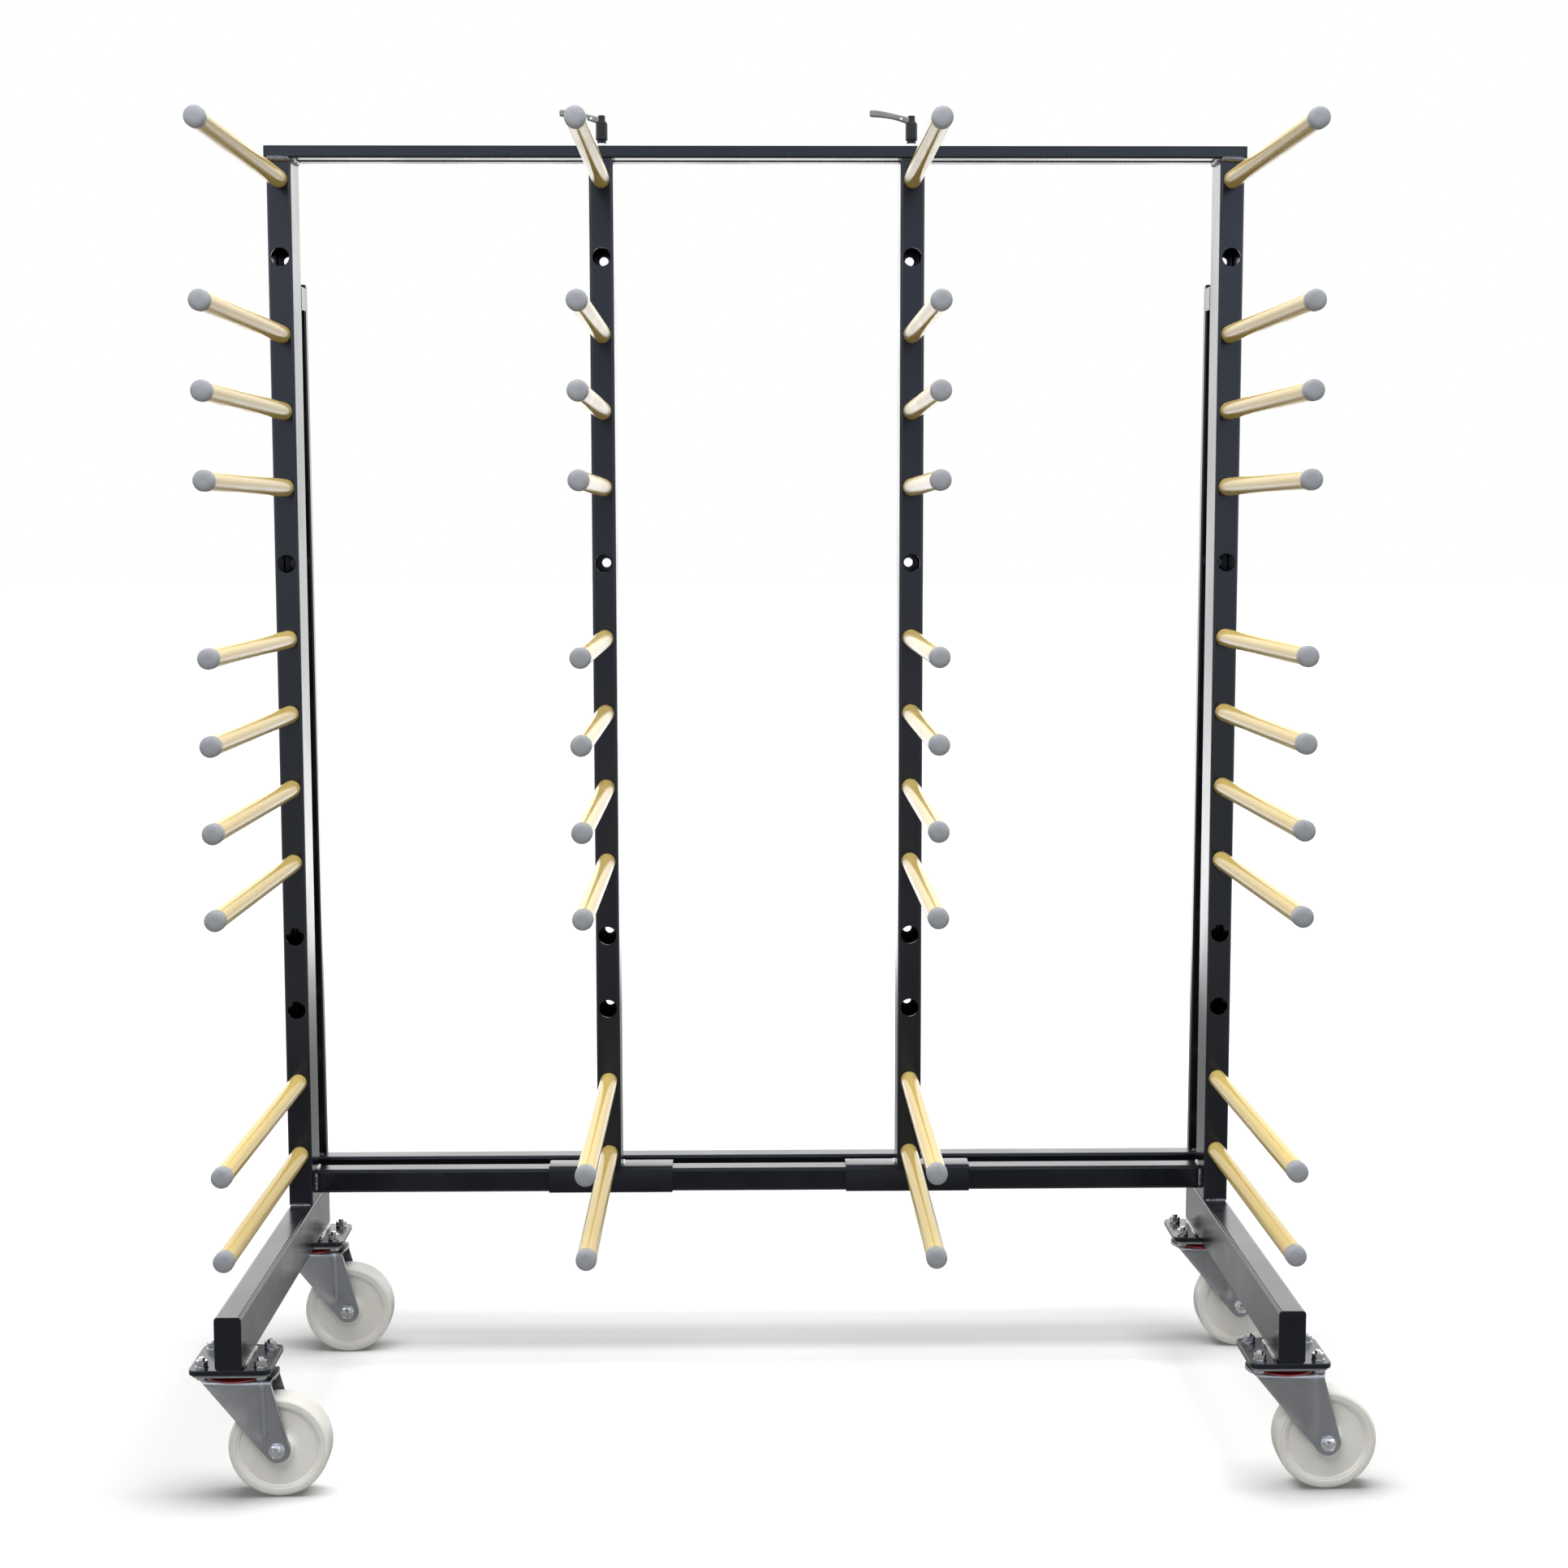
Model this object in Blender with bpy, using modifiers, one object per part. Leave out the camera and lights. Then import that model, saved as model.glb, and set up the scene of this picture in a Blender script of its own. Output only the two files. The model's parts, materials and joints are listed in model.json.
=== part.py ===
"""Mobile peg-arm rack: two end posts, two sliding middle posts, forty arms and four swivel casters.

Metres, +Z up. The goods lie across the arms, which point to -Y; the frame is as wide as X.
Inside the script a piece is placed from the middle of the frame's width, the posts' front face and
the floor. A root empty then moves everything so that the origin is the middle of the footprint.
"""
import math

import bmesh
import bpy
from mathutils import Matrix, Vector

# Clearance between pieces that touch, and how far a welded piece reaches into its neighbour
GAP = 0.0003
WELD_BITE = 0.0005

# Feet and posts: one tube section, narrow side to the front
FRAME_WIDTH = 1.600
TUBE_WIDTH = 0.040
TUBE_DEPTH = 0.080
TUBE_WALL = 0.003
TUBE_RADIUS = 0.005
FOOT_FRONT = 0.600
FOOT_REAR = 0.168
END_PLUG = 0.004
VENT_DIAMETER = 0.008

# Arm sockets, counted from the top of a post
SOCKET_COUNT = 14
SOCKET_PITCH = 0.125
SOCKET_TOP = 0.034
SOCKET_BOTTOM = 0.087
SOCKET_DIAMETER = 0.030
SCREW_HOLE_DIAMETER = 0.015
EMPTY_SOCKETS = (2, 6, 11, 12)

# Arms with slip-on end caps
ARM_DIAMETER = 0.029
ARM_REACH = 0.620
CAP_DIAMETER = 0.0306
CAP_LENGTH = 0.018
CAP_DOME = 0.003

# Two flat tubes along the top, with a slot between them for the clamping studs
BAR_DEPTH = 0.030
BAR_HEIGHT = 0.020
BAR_WALL = 0.002
BAR_RADIUS = 0.003
BAR_SLOT = 0.015

# Bottom rails: the front one carries the saddles, the rear one lies on the feet
RAIL_SIZE = 0.040
RAIL_LIFT = 0.010
REAR_RAIL_HEIGHT = 0.050

# Leaning rear braces
BRACE_THICKNESS = 0.020
BRACE_WALL = 0.002
BRACE_DROP = 0.192
SPACER_DEPTH = 0.036
SPACER_HEIGHT = 0.040
SPACER_DROP = 0.006

# Middle posts, which slide along the front rail under the top bars
MID_POST_X = 0.255
SADDLE_LENGTH = 0.212
SADDLE_SHEET = 0.005
CAP_PLATE = 0.005
CAP_PLATE_INSET = 0.0015
STUD_NUT_WIDTH = 0.017
STUD_NUT_HEIGHT = 0.008

# Clamping lever, heights above the top bars
STUD_DIAMETER = 0.010
STUD_BELOW_NUT = 0.002
WASHER_DIAMETER = 0.024
WASHER_THICKNESS = 0.003
INSERT_DIAMETER = 0.0136
INSERT_HEIGHT = 0.008
HUB_DIAMETER = 0.0186
HUB_HEIGHT = 0.042
HANDLE_REACH = 0.070
HANDLE_RISE = 0.013
HANDLE_DIAMETER = 0.0112

# Caster plates: a black one welded under the foot, a zinc one bolted under that
FOOT_PLATE_WIDTH = 0.120
FOOT_PLATE_LENGTH = 0.120
FOOT_PLATE = 0.008
CASTER_PLATE_WIDTH = 0.114
CASTER_PLATE_LENGTH = 0.108
CASTER_PLATE = 0.005
PLATE_RADIUS = 0.012

# Swivel casters, trailing to +X
CASTER_HEIGHT = 0.198
CASTER_TRAIL = 0.063
WHEEL_DIAMETER = 0.152
WHEEL_WIDTH = 0.047
WHEEL_RIM = 0.013
WHEEL_RECESS = 0.008
WHEEL_CROWN = 0.0045
HUB_BOSS_DIAMETER = 0.046
HUB_BOSS_WIDTH = 0.058
AXLE_DIAMETER = 0.012
AXLE_NUT_WIDTH = 0.019
AXLE_NUT_HEIGHT = 0.008
AXLE_END = 0.004
FORK_SHEET = 0.004
FORK_NOSE = 0.043
FORK_NOSE_DROP = 0.005
FORK_TAIL = 0.063
FORK_BOSS_RADIUS = 0.0195
FORK_CROWN_DROP = 0.019
FORK_PANEL_PROUD = 0.0025
FORK_PANEL_LIP = 0.001
FORK_CREASE = 0.040
SEAL_DIAMETER = 0.074
SEAL_HEIGHT = 0.010

# Facets of round pieces
ARM_SIDES = 12
SOCKET_SIDES = 12
SCREW_HOLE_SIDES = 6
WHEEL_SIDES = 20
HEAD_SIDES = 16
BOLT_SIDES = 12
CORNER_STEPS = 2

# Heights and places that follow from the sizes above
FOOT_BOTTOM = CASTER_HEIGHT + FOOT_PLATE
FOOT_TOP = FOOT_BOTTOM + TUBE_DEPTH
POST_HEIGHT = SOCKET_TOP + (SOCKET_COUNT - 1) * SOCKET_PITCH + SOCKET_BOTTOM
POST_TOP = FOOT_TOP + POST_HEIGHT
BAR_BOTTOM = POST_TOP + GAP
BAR_TOP = BAR_BOTTOM + BAR_HEIGHT
RAIL_TOP = FOOT_TOP + RAIL_LIFT + RAIL_SIZE
SADDLE_TOP = RAIL_TOP + GAP + SADDLE_SHEET
REAR_RAIL_TOP = FOOT_TOP + GAP + REAR_RAIL_HEIGHT
END_POST_X = (FRAME_WIDTH - TUBE_WIDTH) / 2
SLOT_Y = TUBE_DEPTH / 2
RAIL_Y = TUBE_DEPTH - RAIL_SIZE / 2
REAR_RAIL_Y = FOOT_REAR - RAIL_SIZE / 2
PIVOT_FRONT_Y = FOOT_PLATE_LENGTH / 2 - FOOT_FRONT
PIVOT_REAR_Y = FOOT_REAR - FOOT_PLATE_LENGTH / 2
AXLE_HEIGHT = WHEEL_DIAMETER / 2 * math.cos(math.pi / WHEEL_SIDES)
ARM_TIP_Y = -ARM_REACH

# The footprint's middle: the trailing wheels reach further to +X than the plates do to -X
FOOTPRINT_RIGHT = END_POST_X + CASTER_TRAIL + AXLE_HEIGHT
FOOTPRINT_LEFT = END_POST_X + FOOT_PLATE_WIDTH / 2
ORIGIN_X = (FOOTPRINT_RIGHT - FOOTPRINT_LEFT) / 2
ORIGIN_Y = (FOOT_REAR + ARM_TIP_Y) / 2

# Turns that lay a piece built along Z down along X or -Y
ALONG_X = Matrix.Rotation(math.pi / 2, 4, "Y")
ALONG_Y = Matrix.Rotation(math.pi / 2, 4, "X")
MERGE = 0.00001
SIDES = {"left": -1, "right": 1}


def clear_scene():
    """Remove every object that is in the file."""
    for old in list(bpy.data.objects):
        bpy.data.objects.remove(old, do_unlink=True)


def new_collection(name):
    """Add a collection under the scene's own one."""
    collection = bpy.data.collections.new(name)
    bpy.context.scene.collection.children.link(collection)
    return collection


clear_scene()
PARTS = new_collection("peg_arm_rack")
CUTTERS = new_collection("cutters")
ROOT = bpy.data.objects.new("rack_origin", None)
ROOT.location = (-ORIGIN_X, -ORIGIN_Y, 0)
PARTS.objects.link(ROOT)


def finish(name, colour, roughness, metallic):
    """Make a Principled material."""
    material = bpy.data.materials.new(name)
    material.use_nodes = True
    shader = material.node_tree.nodes["Principled BSDF"]
    shader.inputs["Base Color"].default_value = (*colour, 1)
    shader.inputs["Roughness"].default_value = roughness
    shader.inputs["Metallic"].default_value = metallic
    return material


FRAME_BLACK = finish("frame_black", (0.018, 0.020, 0.024), 0.35, 0.0)
LEVER_BLACK = finish("lever_black", (0.015, 0.015, 0.017), 0.5, 0.0)
ARM_CREAM = finish("arm_cream", (0.82, 0.69, 0.38), 0.3, 0.0)
ZINC = finish("zinc", (0.55, 0.57, 0.58), 0.35, 1.0)
NYLON = finish("nylon_white", (0.78, 0.76, 0.70), 0.45, 0.0)


def place(name, mesh, location=(0, 0, 0), turn=Matrix(), material=None):
    """Put a mesh into the rack as a named part, turned about its own origin."""
    part = bpy.data.objects.new(name, mesh)
    part.matrix_local = Matrix.Translation(location) @ turn
    part.parent = ROOT
    PARTS.objects.link(part)
    if material and not mesh.materials:
        mesh.materials.append(material)
    return part


def tool(name, mesh, location=(0, 0, 0), turn=Matrix()):
    """Put a mesh beside the rack as a hidden shape that cuts or joins a part."""
    shape = bpy.data.objects.new(name, mesh)
    shape.matrix_local = Matrix.Translation(location) @ turn
    shape.parent = ROOT
    shape.hide_render = True
    shape.display_type = "WIRE"
    CUTTERS.objects.link(shape)
    return shape


def combine(part, shape, operation):
    """Cut a part with a hidden shape, or join the shape to it."""
    step = part.modifiers.new(shape.name, "BOOLEAN")
    step.operation = operation
    step.solver = "EXACT"
    step.object = shape


def baked(part):
    """Return the mesh of an object as its modifiers leave it, and remove the object."""
    graph = bpy.context.evaluated_depsgraph_get()
    mesh = bpy.data.meshes.new_from_object(part.evaluated_get(graph), depsgraph=graph)
    bpy.data.objects.remove(part, do_unlink=True)
    return mesh


def welded(mesh):
    """Close a mesh's seams and turn its faces outwards."""
    shape = bmesh.new()
    shape.from_mesh(mesh)
    bmesh.ops.remove_doubles(shape, verts=shape.verts, dist=MERGE)
    bmesh.ops.recalc_face_normals(shape, faces=shape.faces)
    shape.to_mesh(mesh)
    shape.free()
    return mesh


def rounded_rectangle(width, height, radius, steps=CORNER_STEPS):
    """Corner arcs of a rectangle round the origin, counter-clockwise."""
    points = []
    for quarter in range(4):
        turn = quarter * math.pi / 2
        side_x = 1 if quarter in (0, 3) else -1
        side_y = 1 if quarter in (0, 1) else -1
        centre = Vector((side_x * (width / 2 - radius), side_y * (height / 2 - radius)))
        for step in range(steps + 1):
            angle = turn + step / steps * math.pi / 2
            points.append(centre + radius * Vector((math.cos(angle), math.sin(angle))))
    return points


def extruded(name, outlines, length):
    """A flat outline, with any inner outlines left open, drawn up from z = 0 by its length."""
    curve = bpy.data.curves.new(name, "CURVE")
    curve.dimensions = "2D"
    curve.fill_mode = "BOTH"
    curve.extrude = length / 2
    for outline in outlines:
        spline = curve.splines.new("POLY")
        spline.points.add(len(outline) - 1)
        for point, corner in zip(spline.points, outline):
            point.co = (corner[0], corner[1], 0, 1)
        spline.use_cyclic_u = True
    shape = bpy.data.objects.new(name, curve)
    bpy.context.scene.collection.objects.link(shape)
    mesh = welded(baked(shape))
    mesh.transform(Matrix.Translation((0, 0, length / 2)))
    return mesh


def turned(name, profile, sides):
    """A profile of (radius, height) points, listed from the top down its outside, turned about Z."""
    mesh = bpy.data.meshes.new(name)
    edges = [(i, i + 1) for i in range(len(profile) - 1)]
    if profile[0][0] > MERGE:
        edges.append((len(profile) - 1, 0))
    mesh.from_pydata([(radius, 0, height) for radius, height in profile], edges, [])
    shape = bpy.data.objects.new(name, mesh)
    bpy.context.scene.collection.objects.link(shape)
    screw = shape.modifiers.new("turn", "SCREW")
    screw.axis = "Z"
    screw.angle = math.tau
    screw.steps = sides
    screw.render_steps = sides
    screw.use_merge_vertices = True
    screw.merge_threshold = MERGE
    mesh = welded(baked(shape))
    mesh.shade_smooth()
    mesh.set_sharp_from_angle(angle=math.radians(35))
    return mesh


def cylinders(name, diameter, length, sides, centres, turn=Matrix()):
    """One mesh of separate cylinders, each centred on its point."""
    mesh = bpy.data.meshes.new(name)
    shape = bmesh.new()
    for centre in centres:
        bmesh.ops.create_cone(
            shape, cap_ends=True, segments=sides, radius1=diameter / 2, radius2=diameter / 2,
            depth=length, matrix=Matrix.Translation(centre) @ turn)
    shape.to_mesh(mesh)
    shape.free()
    return mesh


def tube_section(width, height, wall, radius):
    """Outer and inner outline of a rectangular tube."""
    inner_radius = max(radius - wall, wall / 3)
    return [
        rounded_rectangle(width, height, radius),
        rounded_rectangle(width - 2 * wall, height - 2 * wall, inner_radius, 1),
    ]


def closed_tube(name, width, height, wall, radius, length, plug):
    """A tube along Z from z = 0 with a plug in each end; its hollow still needs a vent."""
    outer, inner = tube_section(width, height, wall, radius)
    shape = tool(name + "_outside", extruded(name, [outer], length))
    hollow = tool(name + "_hollow", extruded(name, [inner], length - 2 * plug), (0, 0, plug))
    combine(shape, hollow, "DIFFERENCE")
    mesh = baked(shape)
    bpy.data.objects.remove(hollow, do_unlink=True)
    return mesh


def socket_height(number):
    """Height of a socket's middle; number 1 is the top one."""
    return POST_TOP - SOCKET_TOP - (number - 1) * SOCKET_PITCH


def post_drills():
    """Cutters for a post at x = 0: wide sockets in the front wall, screw holes in the rear wall."""
    heights = [socket_height(number + 1) for number in range(SOCKET_COUNT)]
    reach = TUBE_DEPTH / 2
    middles = {"sockets": 0, "screw_holes": TUBE_DEPTH}
    sizes = {
        "sockets": (SOCKET_DIAMETER, SOCKET_SIDES),
        "screw_holes": (SCREW_HOLE_DIAMETER, SCREW_HOLE_SIDES),
    }
    drills = {}
    for kind, middle in middles.items():
        diameter, sides = sizes[kind]
        centres = [(0, middle, height) for height in heights]
        drills[kind] = cylinders("post_" + kind, diameter, reach, sides, centres, ALONG_Y)
    return drills


def drill_post(post, x, drills):
    """Cut the sockets and screw holes of one post."""
    for kind, mesh in drills.items():
        combine(post, tool(post.name + "_" + kind, mesh, (x, 0, 0)), "DIFFERENCE")


def add_foot(side, sign):
    """A foot tube with closed ends, a welded plate under each end and the caster's own plate below it."""
    x = sign * END_POST_X
    length = FOOT_FRONT + FOOT_REAR
    mesh = closed_tube(side + "_foot", TUBE_WIDTH, TUBE_DEPTH, TUBE_WALL, TUBE_RADIUS, length, END_PLUG)
    middle_z = FOOT_BOTTOM + TUBE_DEPTH / 2
    foot = place(side + "_foot", mesh, (x, FOOT_REAR, middle_z), ALONG_Y, FRAME_BLACK)
    for end, pivot_y in (("front", PIVOT_FRONT_Y), ("rear", PIVOT_REAR_Y)):
        plate_bottom = CASTER_HEIGHT - CASTER_PLATE
        for kind, width, plate_length, thickness, bottom in (
            ("foot_plate", FOOT_PLATE_WIDTH, FOOT_PLATE_LENGTH, FOOT_PLATE, CASTER_HEIGHT),
            ("caster_plate", CASTER_PLATE_WIDTH, CASTER_PLATE_LENGTH, CASTER_PLATE, plate_bottom),
        ):
            outline = rounded_rectangle(width, plate_length, PLATE_RADIUS)
            name = f"{side}_{end}_{kind}"
            plate = extruded(name, [outline], thickness + WELD_BITE)
            combine(foot, tool(name, plate, (x, pivot_y, bottom)), "UNION")
    vent = cylinders(side + "_foot_vent", VENT_DIAMETER, 4 * TUBE_WALL, BOLT_SIDES, [(0, 0, 0)])
    combine(foot, tool(side + "_foot_vent", vent, (x, TUBE_DEPTH / 2, FOOT_TOP)), "DIFFERENCE")


def add_end_post(side, sign, drills):
    """An end post on its foot, open at the top under the bars."""
    x = sign * END_POST_X
    section = tube_section(TUBE_WIDTH, TUBE_DEPTH, TUBE_WALL, TUBE_RADIUS)
    mesh = extruded(side + "_end_post", section, POST_HEIGHT - GAP)
    post = place(side + "_end_post", mesh, (x, TUBE_DEPTH / 2, FOOT_TOP + GAP), material=FRAME_BLACK)
    drill_post(post, x, drills)


def saddle_outline():
    """Inverted U over the front rail, seen along X: y across, z up from the rail's bottom."""
    inner = RAIL_SIZE / 2 + GAP
    outer = inner + SADDLE_SHEET
    roof = RAIL_SIZE + GAP
    top = roof + SADDLE_SHEET
    inside = [(-inner, 0), (-inner, roof), (inner, roof), (inner, 0)]
    return [(-outer, 0), *inside, (outer, 0), (outer, top), (-outer, top)]


def add_mid_post(side, sign, drills):
    """A middle post: tube, saddle at its foot, cap plate and nut for the clamping stud at its top."""
    x = sign * MID_POST_X
    name = side + "_mid_post"
    section = tube_section(TUBE_WIDTH, TUBE_DEPTH, TUBE_WALL, TUBE_RADIUS)
    bottom = SADDLE_TOP - WELD_BITE
    plate_bottom = POST_TOP - CAP_PLATE
    mesh = extruded(name, section, plate_bottom + WELD_BITE - bottom)
    post = place(name, mesh, (x, SLOT_Y, bottom), material=FRAME_BLACK)
    drill_post(post, x, drills)
    saddle = extruded(side + "_saddle", [saddle_outline()], SADDLE_LENGTH)
    across = Matrix.Rotation(math.pi / 2, 4, "Z") @ ALONG_Y
    start = (x - SADDLE_LENGTH / 2, RAIL_Y, FOOT_TOP + RAIL_LIFT)
    combine(post, tool(side + "_saddle", saddle, start, across), "UNION")
    plate_outline = rounded_rectangle(
        TUBE_WIDTH - 2 * CAP_PLATE_INSET, TUBE_DEPTH - 2 * CAP_PLATE_INSET, TUBE_RADIUS)
    plate = extruded(side + "_cap_plate", [plate_outline], CAP_PLATE)
    combine(post, tool(side + "_cap_plate", plate, (x, SLOT_Y, plate_bottom)), "UNION")
    nut = cylinders(side + "_stud_nut", STUD_NUT_WIDTH, STUD_NUT_HEIGHT, 6, [(0, 0, -STUD_NUT_HEIGHT / 2)])
    combine(post, tool(side + "_stud_nut", nut, (x, SLOT_Y, plate_bottom + WELD_BITE)), "UNION")
    hole_length = 2 * (CAP_PLATE + STUD_NUT_HEIGHT) + GAP
    hole = cylinders(side + "_stud_hole", STUD_DIAMETER + 2 * GAP, hole_length, BOLT_SIDES, [(0, 0, 0)])
    combine(post, tool(side + "_stud_hole", hole, (x, SLOT_Y, POST_TOP)), "DIFFERENCE")


def add_top_bars():
    """The two flat tubes on the posts, with plugs that stand proud of the end posts."""
    length = FRAME_WIDTH + 2 * END_PLUG
    for row, sign in (("front", -1), ("rear", 1)):
        name = f"top_{row}_bar"
        y = SLOT_Y + sign * (BAR_SLOT + BAR_DEPTH) / 2
        mesh = closed_tube(name, BAR_HEIGHT, BAR_DEPTH, BAR_WALL, BAR_RADIUS, length, END_PLUG)
        bar = place(name, mesh, (-length / 2, y, BAR_BOTTOM + BAR_HEIGHT / 2), ALONG_X, FRAME_BLACK)
        vent = cylinders(name + "_vent", VENT_DIAMETER, 4 * BAR_WALL, BOLT_SIDES, [(0, 0, 0)])
        combine(bar, tool(name + "_vent", vent, (END_POST_X, y, BAR_BOTTOM)), "DIFFERENCE")


def add_front_rail():
    """The rail between the end posts that carries the saddles."""
    length = FRAME_WIDTH - 2 * TUBE_WIDTH - 2 * GAP
    mesh = extruded("front_rail", tube_section(RAIL_SIZE, RAIL_SIZE, TUBE_WALL, TUBE_RADIUS), length)
    place("front_rail", mesh, (-length / 2, RAIL_Y, RAIL_TOP - RAIL_SIZE / 2), ALONG_X, FRAME_BLACK)


def add_rear_frame():
    """The rear rail on the feet and the two braces that stand on it and lean on the end posts."""
    mesh = closed_tube(
        "rear_frame", REAR_RAIL_HEIGHT, RAIL_SIZE, TUBE_WALL, TUBE_RADIUS, FRAME_WIDTH, END_PLUG)
    middle_z = REAR_RAIL_TOP - REAR_RAIL_HEIGHT / 2
    frame = place("rear_frame", mesh, (-FRAME_WIDTH / 2, REAR_RAIL_Y, middle_z), ALONG_X, FRAME_BLACK)
    foot_y = FOOT_REAR - BRACE_THICKNESS / 2
    head_y = TUBE_DEPTH + SPACER_DEPTH + BRACE_THICKNESS / 2
    head_z = POST_TOP - BRACE_DROP
    foot_z = REAR_RAIL_TOP - TUBE_WALL / 2
    lean = math.atan2(foot_y - head_y, head_z - foot_z)
    length = math.hypot(foot_y - head_y, head_z - foot_z)
    section = tube_section(TUBE_WIDTH, BRACE_THICKNESS, BRACE_WALL, BAR_RADIUS)
    spacer_top = head_z - SPACER_DROP
    spacer_start = TUBE_DEPTH + GAP
    spacer_end = TUBE_DEPTH + SPACER_DEPTH + BRACE_WALL
    for side, sign in SIDES.items():
        x = sign * END_POST_X
        brace = extruded(side + "_brace", section, length)
        turn = Matrix.Rotation(lean, 4, "X")
        combine(frame, tool(side + "_brace", brace, (x, foot_y, foot_z), turn), "UNION")
        outline = rounded_rectangle(TUBE_WIDTH, SPACER_HEIGHT, BAR_RADIUS)
        spacer = extruded(side + "_spacer", [outline], spacer_end - spacer_start)
        place_at = (x, spacer_end, spacer_top - SPACER_HEIGHT / 2)
        combine(frame, tool(side + "_spacer", spacer, place_at, ALONG_Y), "UNION")
        vent = cylinders(side + "_brace_vent", VENT_DIAMETER, 2 * REAR_RAIL_HEIGHT, BOLT_SIDES, [(0, 0, 0)])
        combine(frame, tool(side + "_brace_vent", vent, (x, foot_y, middle_z)), "DIFFERENCE")


def arm_mesh():
    """A tube with a domed slip-on cap, turned about Z: z = 0 is the post's front face, +Z the free end."""
    seat = TUBE_WALL - TUBE_DEPTH + GAP
    cap_start = ARM_REACH - CAP_LENGTH
    profile = [
        (0, ARM_REACH),
        (CAP_DIAMETER / 2, ARM_REACH - CAP_DOME),
        (CAP_DIAMETER / 2, cap_start),
        (ARM_DIAMETER / 2, cap_start),
        (ARM_DIAMETER / 2, seat),
        (0, seat),
    ]
    return turned("arm", profile, ARM_SIDES)


def add_arms(post_name, x, mesh):
    """The arms of one post, one in each socket that isn't left empty."""
    if not mesh.materials:
        mesh.materials.append(ARM_CREAM)
    for number in range(1, SOCKET_COUNT + 1):
        if number not in EMPTY_SOCKETS:
            place(f"{post_name}_arm_{number:02d}", mesh, (x, 0, socket_height(number)), ALONG_Y)


def lever_mesh(side):
    """A clamping lever about its stud: z = 0 is the top of the bars, the handle points to -X."""
    washer_top = GAP + WASHER_THICKNESS
    insert_top = washer_top + INSERT_HEIGHT
    hub_top = insert_top + HUB_HEIGHT
    collar = HUB_HEIGHT / 8
    stud_end = POST_TOP - CAP_PLATE - STUD_NUT_HEIGHT - STUD_BELOW_NUT - BAR_TOP
    profile = [
        (0, hub_top),
        (HUB_DIAMETER / 2 - collar / 2, hub_top),
        (HUB_DIAMETER / 2, hub_top - collar / 2),
        (HUB_DIAMETER / 2, insert_top + collar),
        (INSERT_DIAMETER / 2, insert_top + collar),
        (INSERT_DIAMETER / 2, washer_top),
        (WASHER_DIAMETER / 2, washer_top),
        (WASHER_DIAMETER / 2, GAP),
        (STUD_DIAMETER / 2, GAP),
        (STUD_DIAMETER / 2, stud_end),
        (0, stud_end),
    ]
    lever = tool(side + "_lever_hub", turned("lever", profile, BOLT_SIDES))
    handle = tool(side + "_lever_handle", handle_mesh(side, hub_top))
    combine(lever, handle, "UNION")
    mesh = baked(lever)
    bpy.data.objects.remove(handle, do_unlink=True)
    return mesh


def handle_mesh(side, hub_top):
    """The lever's handle: a bar that leaves the hub level, climbs in an S and ends level."""
    start = hub_top - HANDLE_DIAMETER * 0.65
    curve = bpy.data.curves.new(side + "_handle", "CURVE")
    curve.dimensions = "3D"
    curve.bevel_depth = HANDLE_DIAMETER / 2
    curve.bevel_resolution = 2
    curve.use_fill_caps = True
    steps = 5
    spline = curve.splines.new("POLY")
    spline.points.add(steps)
    for step, point in enumerate(spline.points):
        share = step / steps
        climb = (1 - math.cos(math.pi * share)) / 2
        point.co = (-HANDLE_REACH * share, 0, start + HANDLE_RISE * climb, 1)
        point.radius = 1.25 - 0.25 * share
    shape = bpy.data.objects.new(side + "_handle", curve)
    bpy.context.scene.collection.objects.link(shape)
    return welded(baked(shape))


def add_lever(side, sign):
    """A clamping lever over the slot between the bars, its stud in the middle post's nut."""
    mesh = lever_mesh(side)
    place(side + "_clamp_lever", mesh, (sign * MID_POST_X, SLOT_Y, BAR_TOP), material=LEVER_BLACK)


def tangent_angle(point, centre, radius, side):
    """Angle on a circle where a line from an outside point touches it, on the side given as +1 or -1."""
    away = Vector(point) - Vector(centre)
    return math.atan2(away.y, away.x) + side * math.acos(radius / away.length)


def fork_outline(crown_top):
    """A fork leg seen along Y: a wide crown that runs down to a round boss at the axle."""
    axle = Vector((CASTER_TRAIL, AXLE_HEIGHT))
    nose = (-FORK_NOSE, crown_top - FORK_NOSE_DROP)
    shoulder = (FORK_NOSE_DROP - FORK_NOSE, crown_top)
    tail = (FORK_TAIL, crown_top)
    first = tangent_angle(tail, axle, FORK_BOSS_RADIUS, -1)
    last = tangent_angle(nose, axle, FORK_BOSS_RADIUS, 1) - math.tau
    steps = 6
    points = [nose, shoulder, tail]
    for step in range(steps + 1):
        angle = first + (last - first) * step / steps
        points.append(axle + FORK_BOSS_RADIUS * Vector((math.cos(angle), math.sin(angle))))
    return points


def panel_outline(crown_top):
    """The pressed panel on a fork leg: all that lies ahead of the crease and above the boss."""
    low = AXLE_HEIGHT + 0.6 * FORK_BOSS_RADIUS
    outline = fork_outline(crown_top)
    nose, boss = Vector(outline[0]), Vector(outline[-1])
    share = (nose.y - low) / (nose.y - boss.y)
    meet = nose + (boss - nose) * share
    return [
        (nose.x + FORK_PANEL_LIP, nose.y),
        (FORK_CREASE, nose.y),
        (FORK_CREASE + FORK_SHEET, low),
        (meet.x + 2 * FORK_PANEL_LIP, low),
    ]


def crown_outline(half_width):
    """The fork's crown seen from above: round at the nose, square at the tail."""
    steps = 8
    centre = half_width - FORK_NOSE
    points = [(FORK_TAIL, -half_width), (FORK_TAIL, half_width)]
    for step in range(steps + 1):
        angle = math.pi / 2 + math.pi * step / steps
        points.append((centre + half_width * math.cos(angle), half_width * math.sin(angle)))
    return points


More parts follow.
